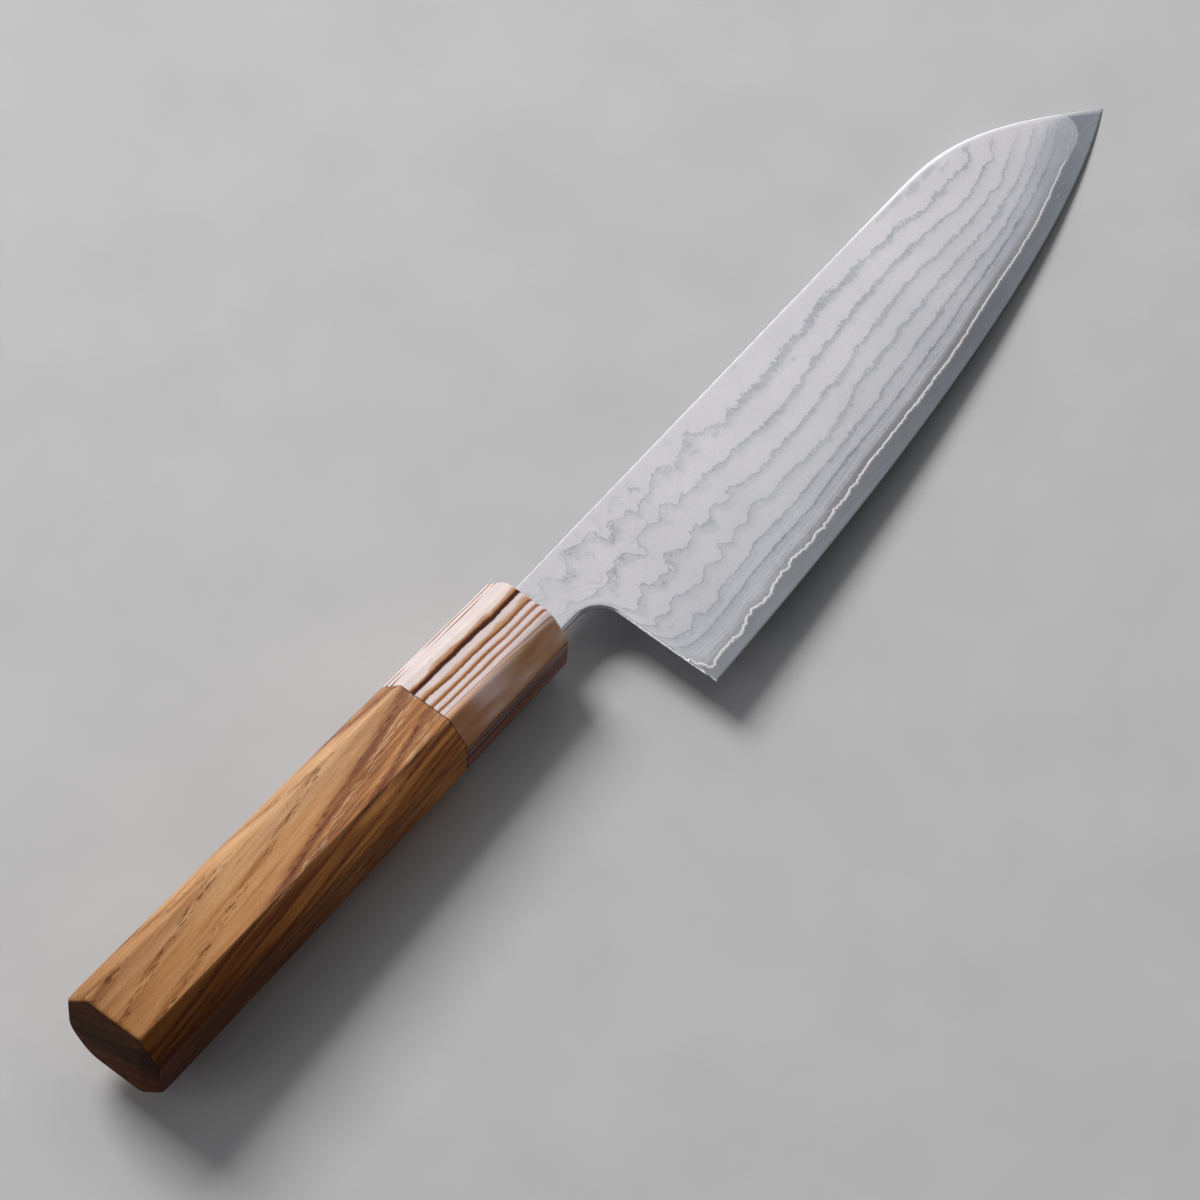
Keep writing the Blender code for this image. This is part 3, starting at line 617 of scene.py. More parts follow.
def build_wood(material):
    rings = []
    butt_x = -FERRULE_L - WOOD_L
    face_x = butt_x - 0.8
    rim = octagon(inset(BUTT, BUTT_R), 4.7, 4, 7.4)
    for k in (0.06, 0.22, 0.40, 0.58, 0.76, 0.90):
        rings.append((face_x - BUTT_DOME * (1.0 - k * k), [(y * k, z * k) for y, z in rim]))
    for i in range(9):
        a = math.radians(90.0 * (1 - i / 8))
        d = BUTT_R * (1 - math.cos(a))
        rings.append((face_x + BUTT_R * (1 - math.sin(a)), octagon(inset(BUTT, d), WOOD_ARRIS + 1.3 + (3.4 - WOOD_ARRIS) * (d / BUTT_R)**0.8, 4, 4.6 + 2.8 * (d / BUTT_R)**0.8)))
    start = face_x + BUTT_R
    for d in (0.5, 1.0, 1.6, 2.3, 3.2):
        x = start + d
        rings.append((x, octagon(mix(BUTT, JOINT, max(0.0, (x - butt_x) / WOOD_L)), WOOD_ARRIS + 1.3 * (1.0 - d / 3.2)**2, 4, WOOD_ARRIS + (4.6 - WOOD_ARRIS) * (1.0 - d / 3.2)**1.3)))
    for i in range(1, 9):
        x = start + 3.2 + (-FERRULE_L - JOINT_GAP - WOOD_SOFT_L - start - 3.2) * i / 9
        rings.append((x, octagon(mix(BUTT, JOINT, (x - butt_x) / WOOD_L), WOOD_ARRIS, 4)))
    for i in range(9):
        t = i / 8
        x = -FERRULE_L - JOINT_GAP - WOOD_SOFT_L * (1 - t)
        r = WOOD_ARRIS + (FERRULE_R_JOINT - WOOD_ARRIS) * t * t
        sec = mix(BUTT, JOINT, (x - butt_x) / WOOD_L)
        if i == 8:
            rings.append((x - 0.14, octagon(sec, r, 4)))
            sec, r = inset(sec, 0.14), r - 0.14
        rings.append((x, octagon(sec, r, 4)))
    v, f = loft(rings)
    return carve("wooden_grip", v, f, [round_cutter("bore_b", BORE_R, BORE_END_X, -FERRULE_L + 2.0)], material, 28.0)


# ---------------------------------------------------------------- material helpers
class Graph:
    """Short forms for building a node material."""

    def __init__(self, name):
        self.mat = bpy.data.materials.new(name)
        self.mat.use_nodes = True
        self.tree = self.mat.node_tree
        self.bsdf = self.tree.nodes["Principled BSDF"]

    def node(self, kind, **props):
        n = self.tree.nodes.new(kind)
        for k, v in props.items():
            setattr(n, k, v)
        return n

    def put(self, socket, value):
        if isinstance(value, bpy.types.NodeSocket):
            self.tree.links.new(value, socket)
        else:
            socket.default_value = value

    def attr(self, name, vector=False):
        n = self.node("ShaderNodeAttribute", attribute_name=name)
        return n.outputs["Vector" if vector else "Fac"]

    def math(self, op, a, b=0.0, c=None, clamp=False):
        n = self.node("ShaderNodeMath", operation=op, use_clamp=clamp)
        self.put(n.inputs[0], a)
        self.put(n.inputs[1], b)
        if c is not None:
            self.put(n.inputs[2], c)
        return n.outputs[0]

    def vmul(self, v, scale, shift=(0.0, 0.0, 0.0)):
        n = self.node("ShaderNodeVectorMath", operation="MULTIPLY_ADD")
        self.put(n.inputs[0], v)
        n.inputs[1].default_value = scale
        n.inputs[2].default_value = shift
        return n.outputs[0]

    def dot(self, v, w):
        n = self.node("ShaderNodeVectorMath", operation="DOT_PRODUCT")
        self.put(n.inputs[0], v)
        n.inputs[1].default_value = w
        return n.outputs["Value"]

    def noise(self, v, scale=1.0, detail=2.0, rough=0.5, distortion=0.0):
        n = self.node("ShaderNodeTexNoise")
        self.put(n.inputs["Vector"], v)
        n.inputs["Scale"].default_value = scale
        n.inputs["Detail"].default_value = detail
        n.inputs["Roughness"].default_value = rough
        n.inputs["Distortion"].default_value = distortion
        return n.outputs["Fac"]

    def cells(self, v, feature="F1"):
        n = self.node("ShaderNodeTexVoronoi", feature=feature)
        self.put(n.inputs["Vector"], v)
        n.inputs["Scale"].default_value = 1.0
        return n.outputs["Distance"]

    def signed(self, v, amount, **kw):
        """Noise centred on zero, reaching about plus or minus amount."""
        return self.math("MULTIPLY_ADD", self.noise(v, **kw), 2.6 * amount, -1.3 * amount)

    def step(self, value, low, high):
        """0 below low, 1 above high, smooth between them; low may be above high for the reverse."""
        n = self.node("ShaderNodeMapRange", interpolation_type="SMOOTHSTEP")
        self.put(n.inputs["Value"], value)
        flip = not isinstance(low, bpy.types.NodeSocket) and not isinstance(high, bpy.types.NodeSocket) and low > high
        self.put(n.inputs["From Min"], high if flip else low)
        self.put(n.inputs["From Max"], low if flip else high)
        n.inputs["To Min"].default_value = 1.0 if flip else 0.0
        n.inputs["To Max"].default_value = 0.0 if flip else 1.0
        return n.outputs["Result"]

    def mix(self, fac, a, b, blend="MIX"):
        n = self.node("ShaderNodeMix", data_type="RGBA", blend_type=blend)
        self.put(n.inputs[0], fac)
        for sock, v in ((n.inputs[6], a), (n.inputs[7], b)):
            if isinstance(v, bpy.types.NodeSocket):
                self.tree.links.new(v, sock)
            else:
                sock.default_value = (*v, 1.0)
        return n.outputs[2]

    def ramp(self, fac, stops, lo=0.0, hi=1.0, ease="LINEAR"):
        """Colour by position; stops are (position, colour) between lo and hi."""
        n = self.node("ShaderNodeValToRGB")
        n.color_ramp.interpolation = ease
        el = n.color_ramp.elements
        while len(el) < len(stops):
            el.new(0.5)
        for e, (p, c) in zip(el, stops):
            e.position = (p - lo) / (hi - lo)
            e.color = (*c, 1.0)
        if lo != 0.0 or hi != 1.0:
            fac = self.math("MULTIPLY_ADD", fac, 1.0 / (hi - lo), -lo / (hi - lo))
        self.put(n.inputs[0], fac)
        return n.outputs[0]

    def bump(self, height, distance, strength=1.0, normal=None):
        n = self.node("ShaderNodeBump")
        n.inputs["Strength"].default_value = strength
        n.inputs["Distance"].default_value = distance
        self.put(n.inputs["Height"], height)
        if normal is not None:
            self.put(n.inputs["Normal"], normal)
        return n.outputs[0]

    def out(self, **sockets):
        for k, v in sockets.items():
            self.put(self.bsdf.inputs[k.replace("_", " ")], v if not isinstance(v, tuple) else (*v, 1.0))
        return self.mat


def lin(r, g, b):
    """Linear colour from display values of 0 to 255."""
    return tuple(c / 255 / 12.92 if c / 255 <= 0.04045 else ((c / 255 + 0.055) / 1.055)**2.4 for c in (r, g, b))


def patterned_steel():
    g = Graph("layered_steel")
    kn = g.attr("kn", True)
    layer, scale, wild = g.attr("layer"), g.attr("scale"), g.attr("wild")
    dborder, dheel, dspine = g.attr("dborder"), g.attr("dheel"), g.attr("dspine")
    flat = g.vmul(kn, (1.0, 1.0, 6.0))
    # wander of the layers: broad curls where the layers lie flat, torn edges everywhere
    curl_noise = g.signed(flat, 0.62, scale=0.20, detail=2.0, rough=0.5, distortion=0.7)
    curl_shift = g.math("MULTIPLY", curl_noise, wild)
    layer2 = g.math("ADD", layer, curl_shift)
    mid = g.signed(flat, 0.95, scale=0.44, detail=2.0, rough=0.6)
    tear = g.signed(g.vmul(kn, (1.5, 1.15, 6.0)), 0.66, scale=1.0, detail=3.0, rough=0.66)
    along = g.dot(kn, (1.0, 0.0, 0.0))
    height = g.dot(kn, (0.0, 1.0, 0.0))
    phase = g.math("SUBTRACT", g.math("FRACT", g.math("ADD", layer2, 0.5)), 0.5)
    dist = g.math("MULTIPLY", phase, scale)
    thin = g.ramp(layer2, [(0.0, (0.9,) * 3), (4.3, (0.85,) * 3), (5.0, (0.55,) * 3), (6.0, (0.30,) * 3), (7.0, (0.22,) * 3)], 0.0, 8.0)
    dist = g.math("ADD", dist, g.math("MULTIPLY", g.math("ADD", mid, tear), thin))
    width = g.ramp(layer2, [(0.0, (0.25,) * 3), (1.0, (0.50,) * 3), (4.2, (0.48,) * 3), (5.0, (0.34,) * 3), (6.0, (0.20,) * 3), (7.0, (0.08,) * 3)], 0.0, 8.0)
    width = g.math("MULTIPLY", width, g.ramp(along, [(0.0, (1.15,) * 3), (60.0, (1.1,) * 3), (120.0, (1.0,) * 3), (150.0, (0.62,) * 3), (175.0, (0.45,) * 3)], 0.0, 190.0))
    swell = g.signed(flat, 0.30, scale=0.21, detail=2.0)
    width = g.math("ADD", width, g.math("MULTIPLY", swell, thin))
    # each line: sharp torn side toward the spine, soft side toward the edge, half-tone below
    upper = g.step(g.math("ADD", dist, width), -0.22, 0.16)
    lower = g.step(g.math("SUBTRACT", dist, width), 0.62, -0.20)
    heel_soft = g.ramp(along, [(10.0, (0.36,) * 3), (45.0, (0.46,) * 3), (75.0, (0.80,) * 3), (185.0, (0.85,) * 3)], 0.0, 190.0)
    crest = g.step(g.math("ADD", dist, width), 0.80, 0.10)
    body = g.math("MULTIPLY_ADD", crest, g.math("SUBTRACT", 1.0, heel_soft), heel_soft)
    line = g.math("MULTIPLY", g.math("MULTIPLY", upper, lower), body)
    streak = g.noise(g.vmul(kn, (1.4, 0.9, 6.0)), scale=1.0, detail=4.0, rough=0.7)
    line = g.math("MULTIPLY", line, g.math("MULTIPLY_ADD", streak, 2.2, -0.22), clamp=True)
    below = g.math("MULTIPLY", g.step(dist, 2.4, 0.4), g.step(dist, -0.3, 0.3))
    halo = g.ramp(along, [(0.0, (0.36,) * 3), (40.0, (0.36,) * 3), (70.0, (0.30,) * 3), (185.0, (0.24,) * 3)], 0.0, 190.0)
    halo = g.math("MULTIPLY", g.math("MULTIPLY", below, halo), g.math("MULTIPLY_ADD", streak, 2.2, -0.1))
    # faint loops where the layers lie almost flat, near the neck
    loop_n = g.noise(flat, scale=0.30, detail=2.0, rough=0.55, distortion=0.5)
    loops = g.math("MAXIMUM", g.step(g.math("ABSOLUTE", g.math("SUBTRACT", loop_n, 0.47)), 0.020, 0.004), g.step(g.math("ABSOLUTE", g.math("SUBTRACT", loop_n, 0.585)), 0.018, 0.004))
    loops = g.math("MULTIPLY", loops, g.math("MULTIPLY", g.step(along, 70.0, 42.0), g.step(height, -12.0, -5.0)))
    loops = g.math("MULTIPLY", loops, g.step(g.noise(flat, scale=0.22, detail=1.0), 0.38, 0.60))
    # fine parallel layers toward the border
    slow = g.signed(g.vmul(flat, (0.25, 0.8, 1.0)), 0.9, scale=0.30, detail=1.0)
    fine_l = g.math("ADD", layer, g.math("ADD", g.math("MULTIPLY", g.math("ADD", mid, tear), 0.07), g.math("MULTIPLY", slow, 0.16)))
    fine_ph = g.math("SUBTRACT", g.math("FRACT", g.math("MULTIPLY", fine_l, 5.3)), 0.5)
    fine = g.step(g.math("ABSOLUTE", fine_ph), 0.26, 0.06)
    fine_on = g.math("MULTIPLY", g.step(layer, 5.3, 6.0), g.step(g.noise(flat, scale=0.35, detail=2.0), 0.22, 0.52))
    fine = g.math("MULTIPLY", g.math("MULTIPLY", fine, fine_on), g.math("MULTIPLY_ADD", streak, 1.3, -0.14))
    fine = g.math("MULTIPLY", fine, g.ramp(along, [(0.0, (0.55,) * 3), (34.0, (0.60,) * 3), (80.0, (1.0,) * 3)], 0.0, 190.0))
    curl = g.math("ADD", g.attr("curl"), g.math("MULTIPLY", g.math("ABSOLUTE", g.math("ADD", mid, tear)), 0.5))
    curl = g.math("MULTIPLY", g.step(curl, 0.62, 0.12), g.step(g.noise(flat, scale=0.4), 0.32, 0.62))
    isl = g.math("ADD", g.attr("island"), g.math("ADD", g.math("MULTIPLY", tear, 0.45), g.signed(flat, 0.42, scale=0.6, detail=3.0, rough=0.65)))
    isl = g.math("MULTIPLY", g.step(isl, 0.45, 1.0), 0.52)
    # strength over the blade: faint at the heel and neck, clear in the middle, fading at the tip
    force = g.ramp(along, [(0.0, (0.30,) * 3), (14.0, (0.86,) * 3), (44.0, (0.98,) * 3), (74.0, (1.0,) * 3), (140.0, (1.0,) * 3), (156.0, (0.88,) * 3), (166.0, (0.64,) * 3), (173.0, (0.34,) * 3), (178.0, (0.06,) * 3)], 0.0, 190.0)
    force = g.math("MULTIPLY", force, g.math("MAXIMUM", g.step(along, 158.0, 150.0), g.step(dspine, 0.6, 3.4)))
    blot = g.math("MULTIPLY_ADD", g.noise(flat, scale=0.12, detail=2.0), 1.0, 0.45)
    dark = g.math("MAXIMUM", g.math("MAXIMUM", line, halo), fine)
    dark = g.math("MULTIPLY", g.math("MULTIPLY", dark, force), blot)
    dark = g.math("MAXIMUM", dark, g.math("MAXIMUM", g.math("MULTIPLY", curl, 0.34), g.math("MULTIPLY", loops, 0.26)))
    dark = g.math("MAXIMUM", dark, isl, clamp=True)
    low = g.ramp(g.math("ADD", layer, g.math("MULTIPLY", mid, 0.4)), [(1.5, (0.0,) * 3), (2.6, (0.12,) * 3), (4.4, (0.42,) * 3), (5.4, (0.72,) * 3), (6.6, (1.0,) * 3)], 0.0, 8.0)
    low = g.math("MULTIPLY", low, g.math("MAXIMUM", g.step(along, 170.0, 158.0), g.step(height, -3.5, -9.0)))
    ground = g.mix(low, lin(199, 198, 203), g.mix(g.step(along, 30.0, 84.0), lin(182, 184, 190), lin(173, 174, 180)))
    # painted shade: the ground is darker toward the heel and neck
    ground = g.mix(1.0, ground, g.ramp(along, [(0.0, (0.86,) * 3), (30.0, (0.87,) * 3), (58.0, (0.95,) * 3), (90.0, (0.98,) * 3), (120.0, (1.0,) * 3)], 0.0, 190.0), "MULTIPLY")
    tint = g.mix(g.step(along, 120.0, 176.0), ground, g.mix(low, lin(200, 198, 203), lin(161, 165, 174)))
    taupe = g.math("MULTIPLY", g.step(dborder, 2.6, 0.9), g.step(layer, 6.2, 6.7))
    taupe = g.math("MULTIPLY", taupe, g.ramp(along, [(16.0, (0.25,) * 3), (44.0, (0.45,) * 3), (72.0, (0.9,) * 3), (128.0, (0.9,) * 3), (152.0, (0.45,) * 3), (166.0, (0.0,) * 3)], 0.0, 190.0))
    tint = g.mix(g.math("MULTIPLY", taupe, 0.95), tint, lin(121, 120, 124))
    ink = g.mix(g.step(along, 60.0, 20.0), g.mix(g.step(layer, 4.4, 6.0), lin(147, 153, 157), lin(112, 116, 122)), g.mix(g.step(layer, 4.4, 6.0), lin(128, 134, 141), lin(116, 121, 128)))
    colour = g.mix(g.math("MULTIPLY", dark, 0.76), tint, ink)
    grain = g.noise(g.vmul(kn, (3.4, 3.4, 3.4)), scale=1.0, detail=3.0, rough=0.75)
    cloud = g.noise(flat, scale=0.07, detail=3.0)
    colour = g.mix(1.0, colour, g.ramp(grain, [(0.25, (0.86,) * 3), (0.5, (1.0,) * 3), (0.75, (1.10,) * 3)]), "MULTIPLY")
    colour = g.mix(1.0, colour, g.ramp(cloud, [(0.3, (0.96, 0.96, 0.965)), (0.7, (1.03, 1.025, 1.02))]), "MULTIPLY")
    # bright thin layer at the border
    ragged = g.math("MAXIMUM", g.math("ADD", g.math("MULTIPLY", tear, 0.34), g.math("MULTIPLY", mid, 0.12)), -0.14)
    ragged = g.math("MULTIPLY", ragged, g.ramp(along, [(14.0, (1.4,) * 3), (60.0, (0.8,) * 3), (185.0, (0.5,) * 3)], 0.0, 190.0))
    thick = g.ramp(along, [(14.0, (0.40,) * 3), (60.0, (0.37,) * 3), (150.0, (0.34,) * 3), (166.0, (0.27,) * 3), (178.0, (0.22,) * 3)], 0.0, 190.0)
    seam_on = g.step(g.math("SUBTRACT", g.math("SUBTRACT", dborder, ragged), thick), 0.12, -0.10)
    at_heel = g.math("MAXIMUM", g.step(along, 17.0, 18.5), g.ramp(height, [(-34.5, (1.0,) * 3), (-31.5, (0.35,) * 3), (-29.5, (0.0,) * 3)], -40.0, 0.0))
    at_tip = g.step(along, 165.5, 169.5)
    faded = g.math("MULTIPLY", g.math("MULTIPLY", g.step(height, -4.5, -8.0), 0.24), g.step(streak, 0.34, 0.60))
    seam_force = g.math("MULTIPLY", seam_on, g.math("MULTIPLY", at_heel, g.math("ADD", g.math("SUBTRACT", 1.0, at_tip), g.math("MULTIPLY", at_tip, faded))))
    second = g.step(g.math("ABSOLUTE", g.math("ADD", g.math("SUBTRACT", dborder, 1.2), g.math("MULTIPLY", mid, 0.5))), 0.26, 0.06)
    second = g.math("MULTIPLY", second, g.math("MULTIPLY", g.math("MULTIPLY", at_tip, g.step(height, -6.5, -9.0)), g.step(height, -14.5, -12.5)))
    seam_force = g.math("MAXIMUM", seam_force, g.math("MULTIPLY", g.math("MULTIPLY", second, 0.34), g.step(streak, 0.60, 0.36)))
    colour = g.mix(g.math("MULTIPLY", seam_force, 0.92), colour, g.mix(at_tip, lin(220, 216, 217), lin(226, 208, 204)))
    # eased spine and heel edge are polished, with a painted highlight: lighter colour along them, strongest on the
    # curved spine toward the tip
    edging = g.ramp(along, [(0.0, (0.06,) * 3), (50.0, (0.12,) * 3), (95.0, (0.30,) * 3), (125.0, (0.45,) * 3), (150.0, (1.0,) * 3), (165.0, (1.0,) * 3), (180.0, (0.7,) * 3)], 0.0, 190.0)
    polish_and_highlight = g.math("MAXIMUM", g.math("MULTIPLY", g.step(dspine, 1.35, 0.45), edging), g.step(dheel, 0.50, 0.38))
    colour = g.mix(g.math("MULTIPLY", polish_and_highlight, 0.7), colour, lin(226, 227, 230))
    rough = g.math("MULTIPLY_ADD", grain, 0.10, 0.53)
    rough = g.math("SUBTRACT", rough, g.math("MULTIPLY", dark, 0.05))
    rough = g.math("SUBTRACT", rough, g.math("ADD", g.math("MULTIPLY", polish_and_highlight, 0.26), g.math("MULTIPLY", g.step(dheel, 0.50, 0.38), 0.08)))
    relief = g.math("SUBTRACT", g.math("MULTIPLY", grain, 0.30), g.math("MULTIPLY", dark, 0.6))
    relief = g.math("ADD", relief, g.math("MULTIPLY", seam_force, 0.5))
    relief = g.math("MULTIPLY", relief, g.step(dheel, 0.40, 0.75))
    normal = g.bump(relief, 0.00002, 0.35)
    g.bsdf.inputs["Metallic"].default_value = 0.85
    return g.out(Base_Color=colour, Roughness=rough, Normal=normal)


def core_steel():
    g = Graph("cutting_steel")
    kn = g.attr("kn", True)
    dedge, dborder, dheel, dspine = g.attr("dedge"), g.attr("dborder"), g.attr("dheel"), g.attr("dspine")
    along = g.dot(kn, (1.0, 0.0, 0.0))
    height = g.dot(kn, (0.0, 1.0, 0.0))
    strokes = g.noise(g.vmul(kn, (0.10, 5.0, 3.0)), scale=1.0, detail=3.0, rough=0.6)
    cloud = g.noise(kn, scale=0.16, detail=3.0)
    cross = g.noise(g.vmul(kn, (3.2, 0.7, 1.0)), scale=1.0, detail=2.0, rough=0.6)
    # core grey along the blade, darker mid-blade and lighter at the heel and tip: partly the core steel's own tone,
    # partly painted reflection of dark surroundings on the polished steel
    colour = g.ramp(along, [(10.0, lin(139, 142, 148)), (30.0, lin(134, 137, 143)), (60.0, lin(130, 133, 139)), (90.0, lin(119, 122, 128)), (122.0, lin(113, 116, 123)), (150.0, lin(127, 131, 139)),
                            (164.0, lin(130, 134, 142)), (174.0, lin(130, 134, 141)), (185.0, lin(134, 138, 144))], 0.0, 190.0)
    colour = g.mix(1.0, colour, g.ramp(dedge, [(0.0, (1.16,) * 3), (0.6, (1.10,) * 3), (2.0, (1.03,) * 3), (4.2, (0.97,) * 3)], 0.0, 5.0), "MULTIPLY")
    colour = g.mix(1.0, colour, g.ramp(strokes, [(0.3, (0.90,) * 3), (0.7, (1.08,) * 3)]), "MULTIPLY")
    colour = g.mix(1.0, colour, g.ramp(cloud, [(0.3, (0.95,) * 3), (0.7, (1.05,) * 3)]), "MULTIPLY")
    scratch = g.math("MULTIPLY", g.step(g.noise(g.vmul(kn, (0.35, 4.5, 1.0)), scale=1.0, detail=1.0), 0.66, 0.74), g.step(along, 150.0, 166.0))
    colour = g.mix(g.math("MULTIPLY", scratch, 0.45), colour, lin(214, 218, 222))
    glow = g.math("MULTIPLY", g.math("MULTIPLY", g.step(dborder, 0.5, 0.05), 0.25), g.step(along, 169.0, 164.0))
    colour = g.mix(glow, colour, lin(200, 200, 200))
    # honed secondary bevel: a lighter band along it is a painted highlight, and the dark line at the very edge is
    # painted shadow and dark reflection
    honed_bevel_highlight = g.step(dedge, 0.56, 0.44)
    colour = g.mix(g.math("MULTIPLY", honed_bevel_highlight, 0.22), colour, lin(176, 180, 185))
    colour = g.mix(g.math("MULTIPLY", g.step(dedge, 0.34, 0.16), 0.6), colour, lin(84, 87, 92))
    # polished spine and heel edge, with a painted highlight: lighter colour along them, strongest on the curved spine
    # toward the tip
    edging = g.ramp(along, [(0.0, (0.06,) * 3), (50.0, (0.12,) * 3), (95.0, (0.30,) * 3), (125.0, (0.45,) * 3), (150.0, (1.0,) * 3), (165.0, (1.0,) * 3), (180.0, (0.7,) * 3)], 0.0, 190.0)
    polish_and_highlight = g.math("MAXIMUM", g.math("MULTIPLY", g.step(dspine, 1.35, 0.45), edging), g.step(dheel, 0.46, 0.33))
    colour = g.mix(g.math("MULTIPLY", polish_and_highlight, 0.7), colour, lin(226, 228, 231))
    rough = g.math("MULTIPLY_ADD", strokes, 0.12, g.math("MULTIPLY_ADD", g.step(along, 156.0, 174.0), 0.10, 0.40))
    rough = g.math("SUBTRACT", rough, g.math("ADD", g.math("MULTIPLY", honed_bevel_highlight, 0.05), g.math("MULTIPLY", polish_and_highlight, 0.22)))
    relief = g.math("MULTIPLY", g.math("ADD", g.math("MULTIPLY", strokes, 0.5), g.math("MULTIPLY", cross, 0.2)), g.step(dheel, 0.40, 0.75))
    normal = g.bump(relief, 0.00002, 0.35)
    g.bsdf.inputs["Metallic"].default_value = 0.9
    return g.out(Base_Color=colour, Roughness=rough, Normal=normal)


def ferrule_resin():
    g = Graph("striped_resin")
    kn = g.attr("kn", True)
    along = g.dot(kn, (1.0, 0.0, 0.0))
    cream, lilac = lin(236, 221, 216), lin(229, 214, 213)
    tan, amber, brown, deep = lin(192, 144, 100), lin(158, 102, 58), lin(112, 66, 40), lin(66, 30, 18)
    shell, gold, umber = lin(218, 204, 203), lin(176, 116, 66), lin(138, 82, 48)
    straight = g.dot(kn, (0.0, 0.80, -0.60))
    calm = g.ramp(straight, [(-11.0, (0.22,) * 3), (-9.0, (0.40,) * 3), (-5.5, (1.0,) * 3), (12.0, (1.0,) * 3)], -13.0, 13.0)
    wave = g.math("MULTIPLY", g.signed(g.vmul(kn, (0.075, 0.17, 0.17)), 0.50, scale=1.0, detail=1.0), calm)
    ripple = g.math("MULTIPLY", g.signed(g.vmul(kn, (0.26, 0.45, 0.45)), 0.20, scale=1.0, detail=2.0), calm)
    shake = g.math("MULTIPLY", g.signed(g.vmul(kn, (1.5, 1.6, 1.6)), 0.13, scale=1.0, detail=3.0, rough=0.72), calm)
    q = straight
    q = g.math("ADD", q, g.math("MULTIPLY_ADD", along, 0.02, 0.34))
    q = g.math("ADD", q, g.math("ADD", wave, g.math("ADD", ripple, shake)))
    low = g.ramp(q, [(-12.6, lin(158, 102, 68)), (-11.9, lin(186, 130, 94)), (-11.2, lin(206, 154, 114)), (-10.75, lin(214, 164, 120)), (-10.55, lilac), (-10.44, gold), (-10.20, lilac), (-9.54, lilac),
                     (-9.36, umber), (-9.06, gold), (-8.70, lilac), (-8.12, lilac), (-7.94, umber), (-7.56, gold), (-7.16, lilac), (-6.54, lilac), (-6.36, brown), (-6.12, umber), (-5.78, gold),
                     (-5.48, lilac), (-4.30, lilac), (-4.08, deep), (-3.56, deep), (-3.36, brown), (-3.16, amber), (-2.96, cream), (-1.5, cream), (-0.7, shell), (0.0, shell)], -13.0, 0.0)
    high = g.ramp(q, [(0.0, shell), (1.75, shell), (2.05, tan), (2.30, brown), (2.70, brown), (2.95, lilac), (4.10, lilac), (4.35, amber), (4.75, brown), (4.95, lilac), (6.10, shell), (6.9, tan),
                      (7.05, deep), (7.45, deep), (7.6, lilac), (8.6, lilac), (8.75, amber), (8.95, lilac), (9.7, lilac), (9.85, brown), (10.1, tan), (10.5, lilac), (11.2, tan), (12.0, lin(140, 104, 82))], 0.0, 13.0)
    stripes = g.mix(g.step(q, -0.05, 0.05), low, high)
    # golden flank of uneven width above the two dark lines
    flow = g.noise(g.vmul(kn, (0.11, 0.3, 0.3), (4.7, 0.0, 0.0)), scale=1.0, detail=2.0)
    for foot, reach_up, side in ((-3.18, 2.4, lin(182, 128, 80)), (-5.88, 2.0, tan)):
        climb = g.math("SUBTRACT", q, g.math("MULTIPLY", g.math("MAXIMUM", g.math("SUBTRACT", flow, 0.36), 0.0), reach_up))
        flank = g.math("MULTIPLY", g.step(climb, foot + 0.62, foot - 0.12), g.step(q, foot - 0.10, foot + 0.08))
        stripes = g.mix(g.math("MULTIPLY", flank, 0.85), stripes, side)
    faint = g.math("MULTIPLY", g.step(g.noise(g.vmul(kn, (0.07, 0.22, 0.22), (3.1, 0.0, 0.0)), scale=1.0, detail=1.0), 0.48, 0.34), 0.8)
    faint = g.math("MULTIPLY", faint, g.math("MAXIMUM", g.step(q, 1.0, 1.6), g.math("MULTIPLY", g.step(q, -5.2, -6.0), 0.12)))
    stripes = g.mix(g.math("MULTIPLY", faint, g.step(q, -10.5, -10.3)), stripes, lilac)
    fibre = g.noise(g.vmul(kn, (0.20, 3.2, 3.2)), scale=1.0, detail=3.0, rough=0.6)
    mottle = g.noise(kn, scale=0.35, detail=3.0)
    stripes = g.mix(1.0, stripes, g.ramp(fibre, [(0.3, (0.93, 0.92, 0.91)), (0.7, (1.04, 1.04, 1.04))]), "MULTIPLY")
    stripes = g.mix(1.0, stripes, g.ramp(mottle, [(0.3, (0.95, 0.94, 0.95)), (0.7, (1.03, 1.03, 1.02))]), "MULTIPLY")
    # edge-side chamfer band: the pale mauve patches are a painted soft reflection, with tan patches between them
    band = g.step(q, -10.6, -11.0)
    streak = g.noise(g.vmul(kn, (0.06, 0.26, 0.26)), scale=1.0, detail=1.0)
    stripes = g.mix(g.math("MULTIPLY", band, g.step(streak, 0.40, 0.72)), stripes, lin(240, 210, 200))
    stripes = g.mix(g.math("MULTIPLY", band, g.step(streak, 0.42, 0.20)), stripes, lin(176, 120, 86))
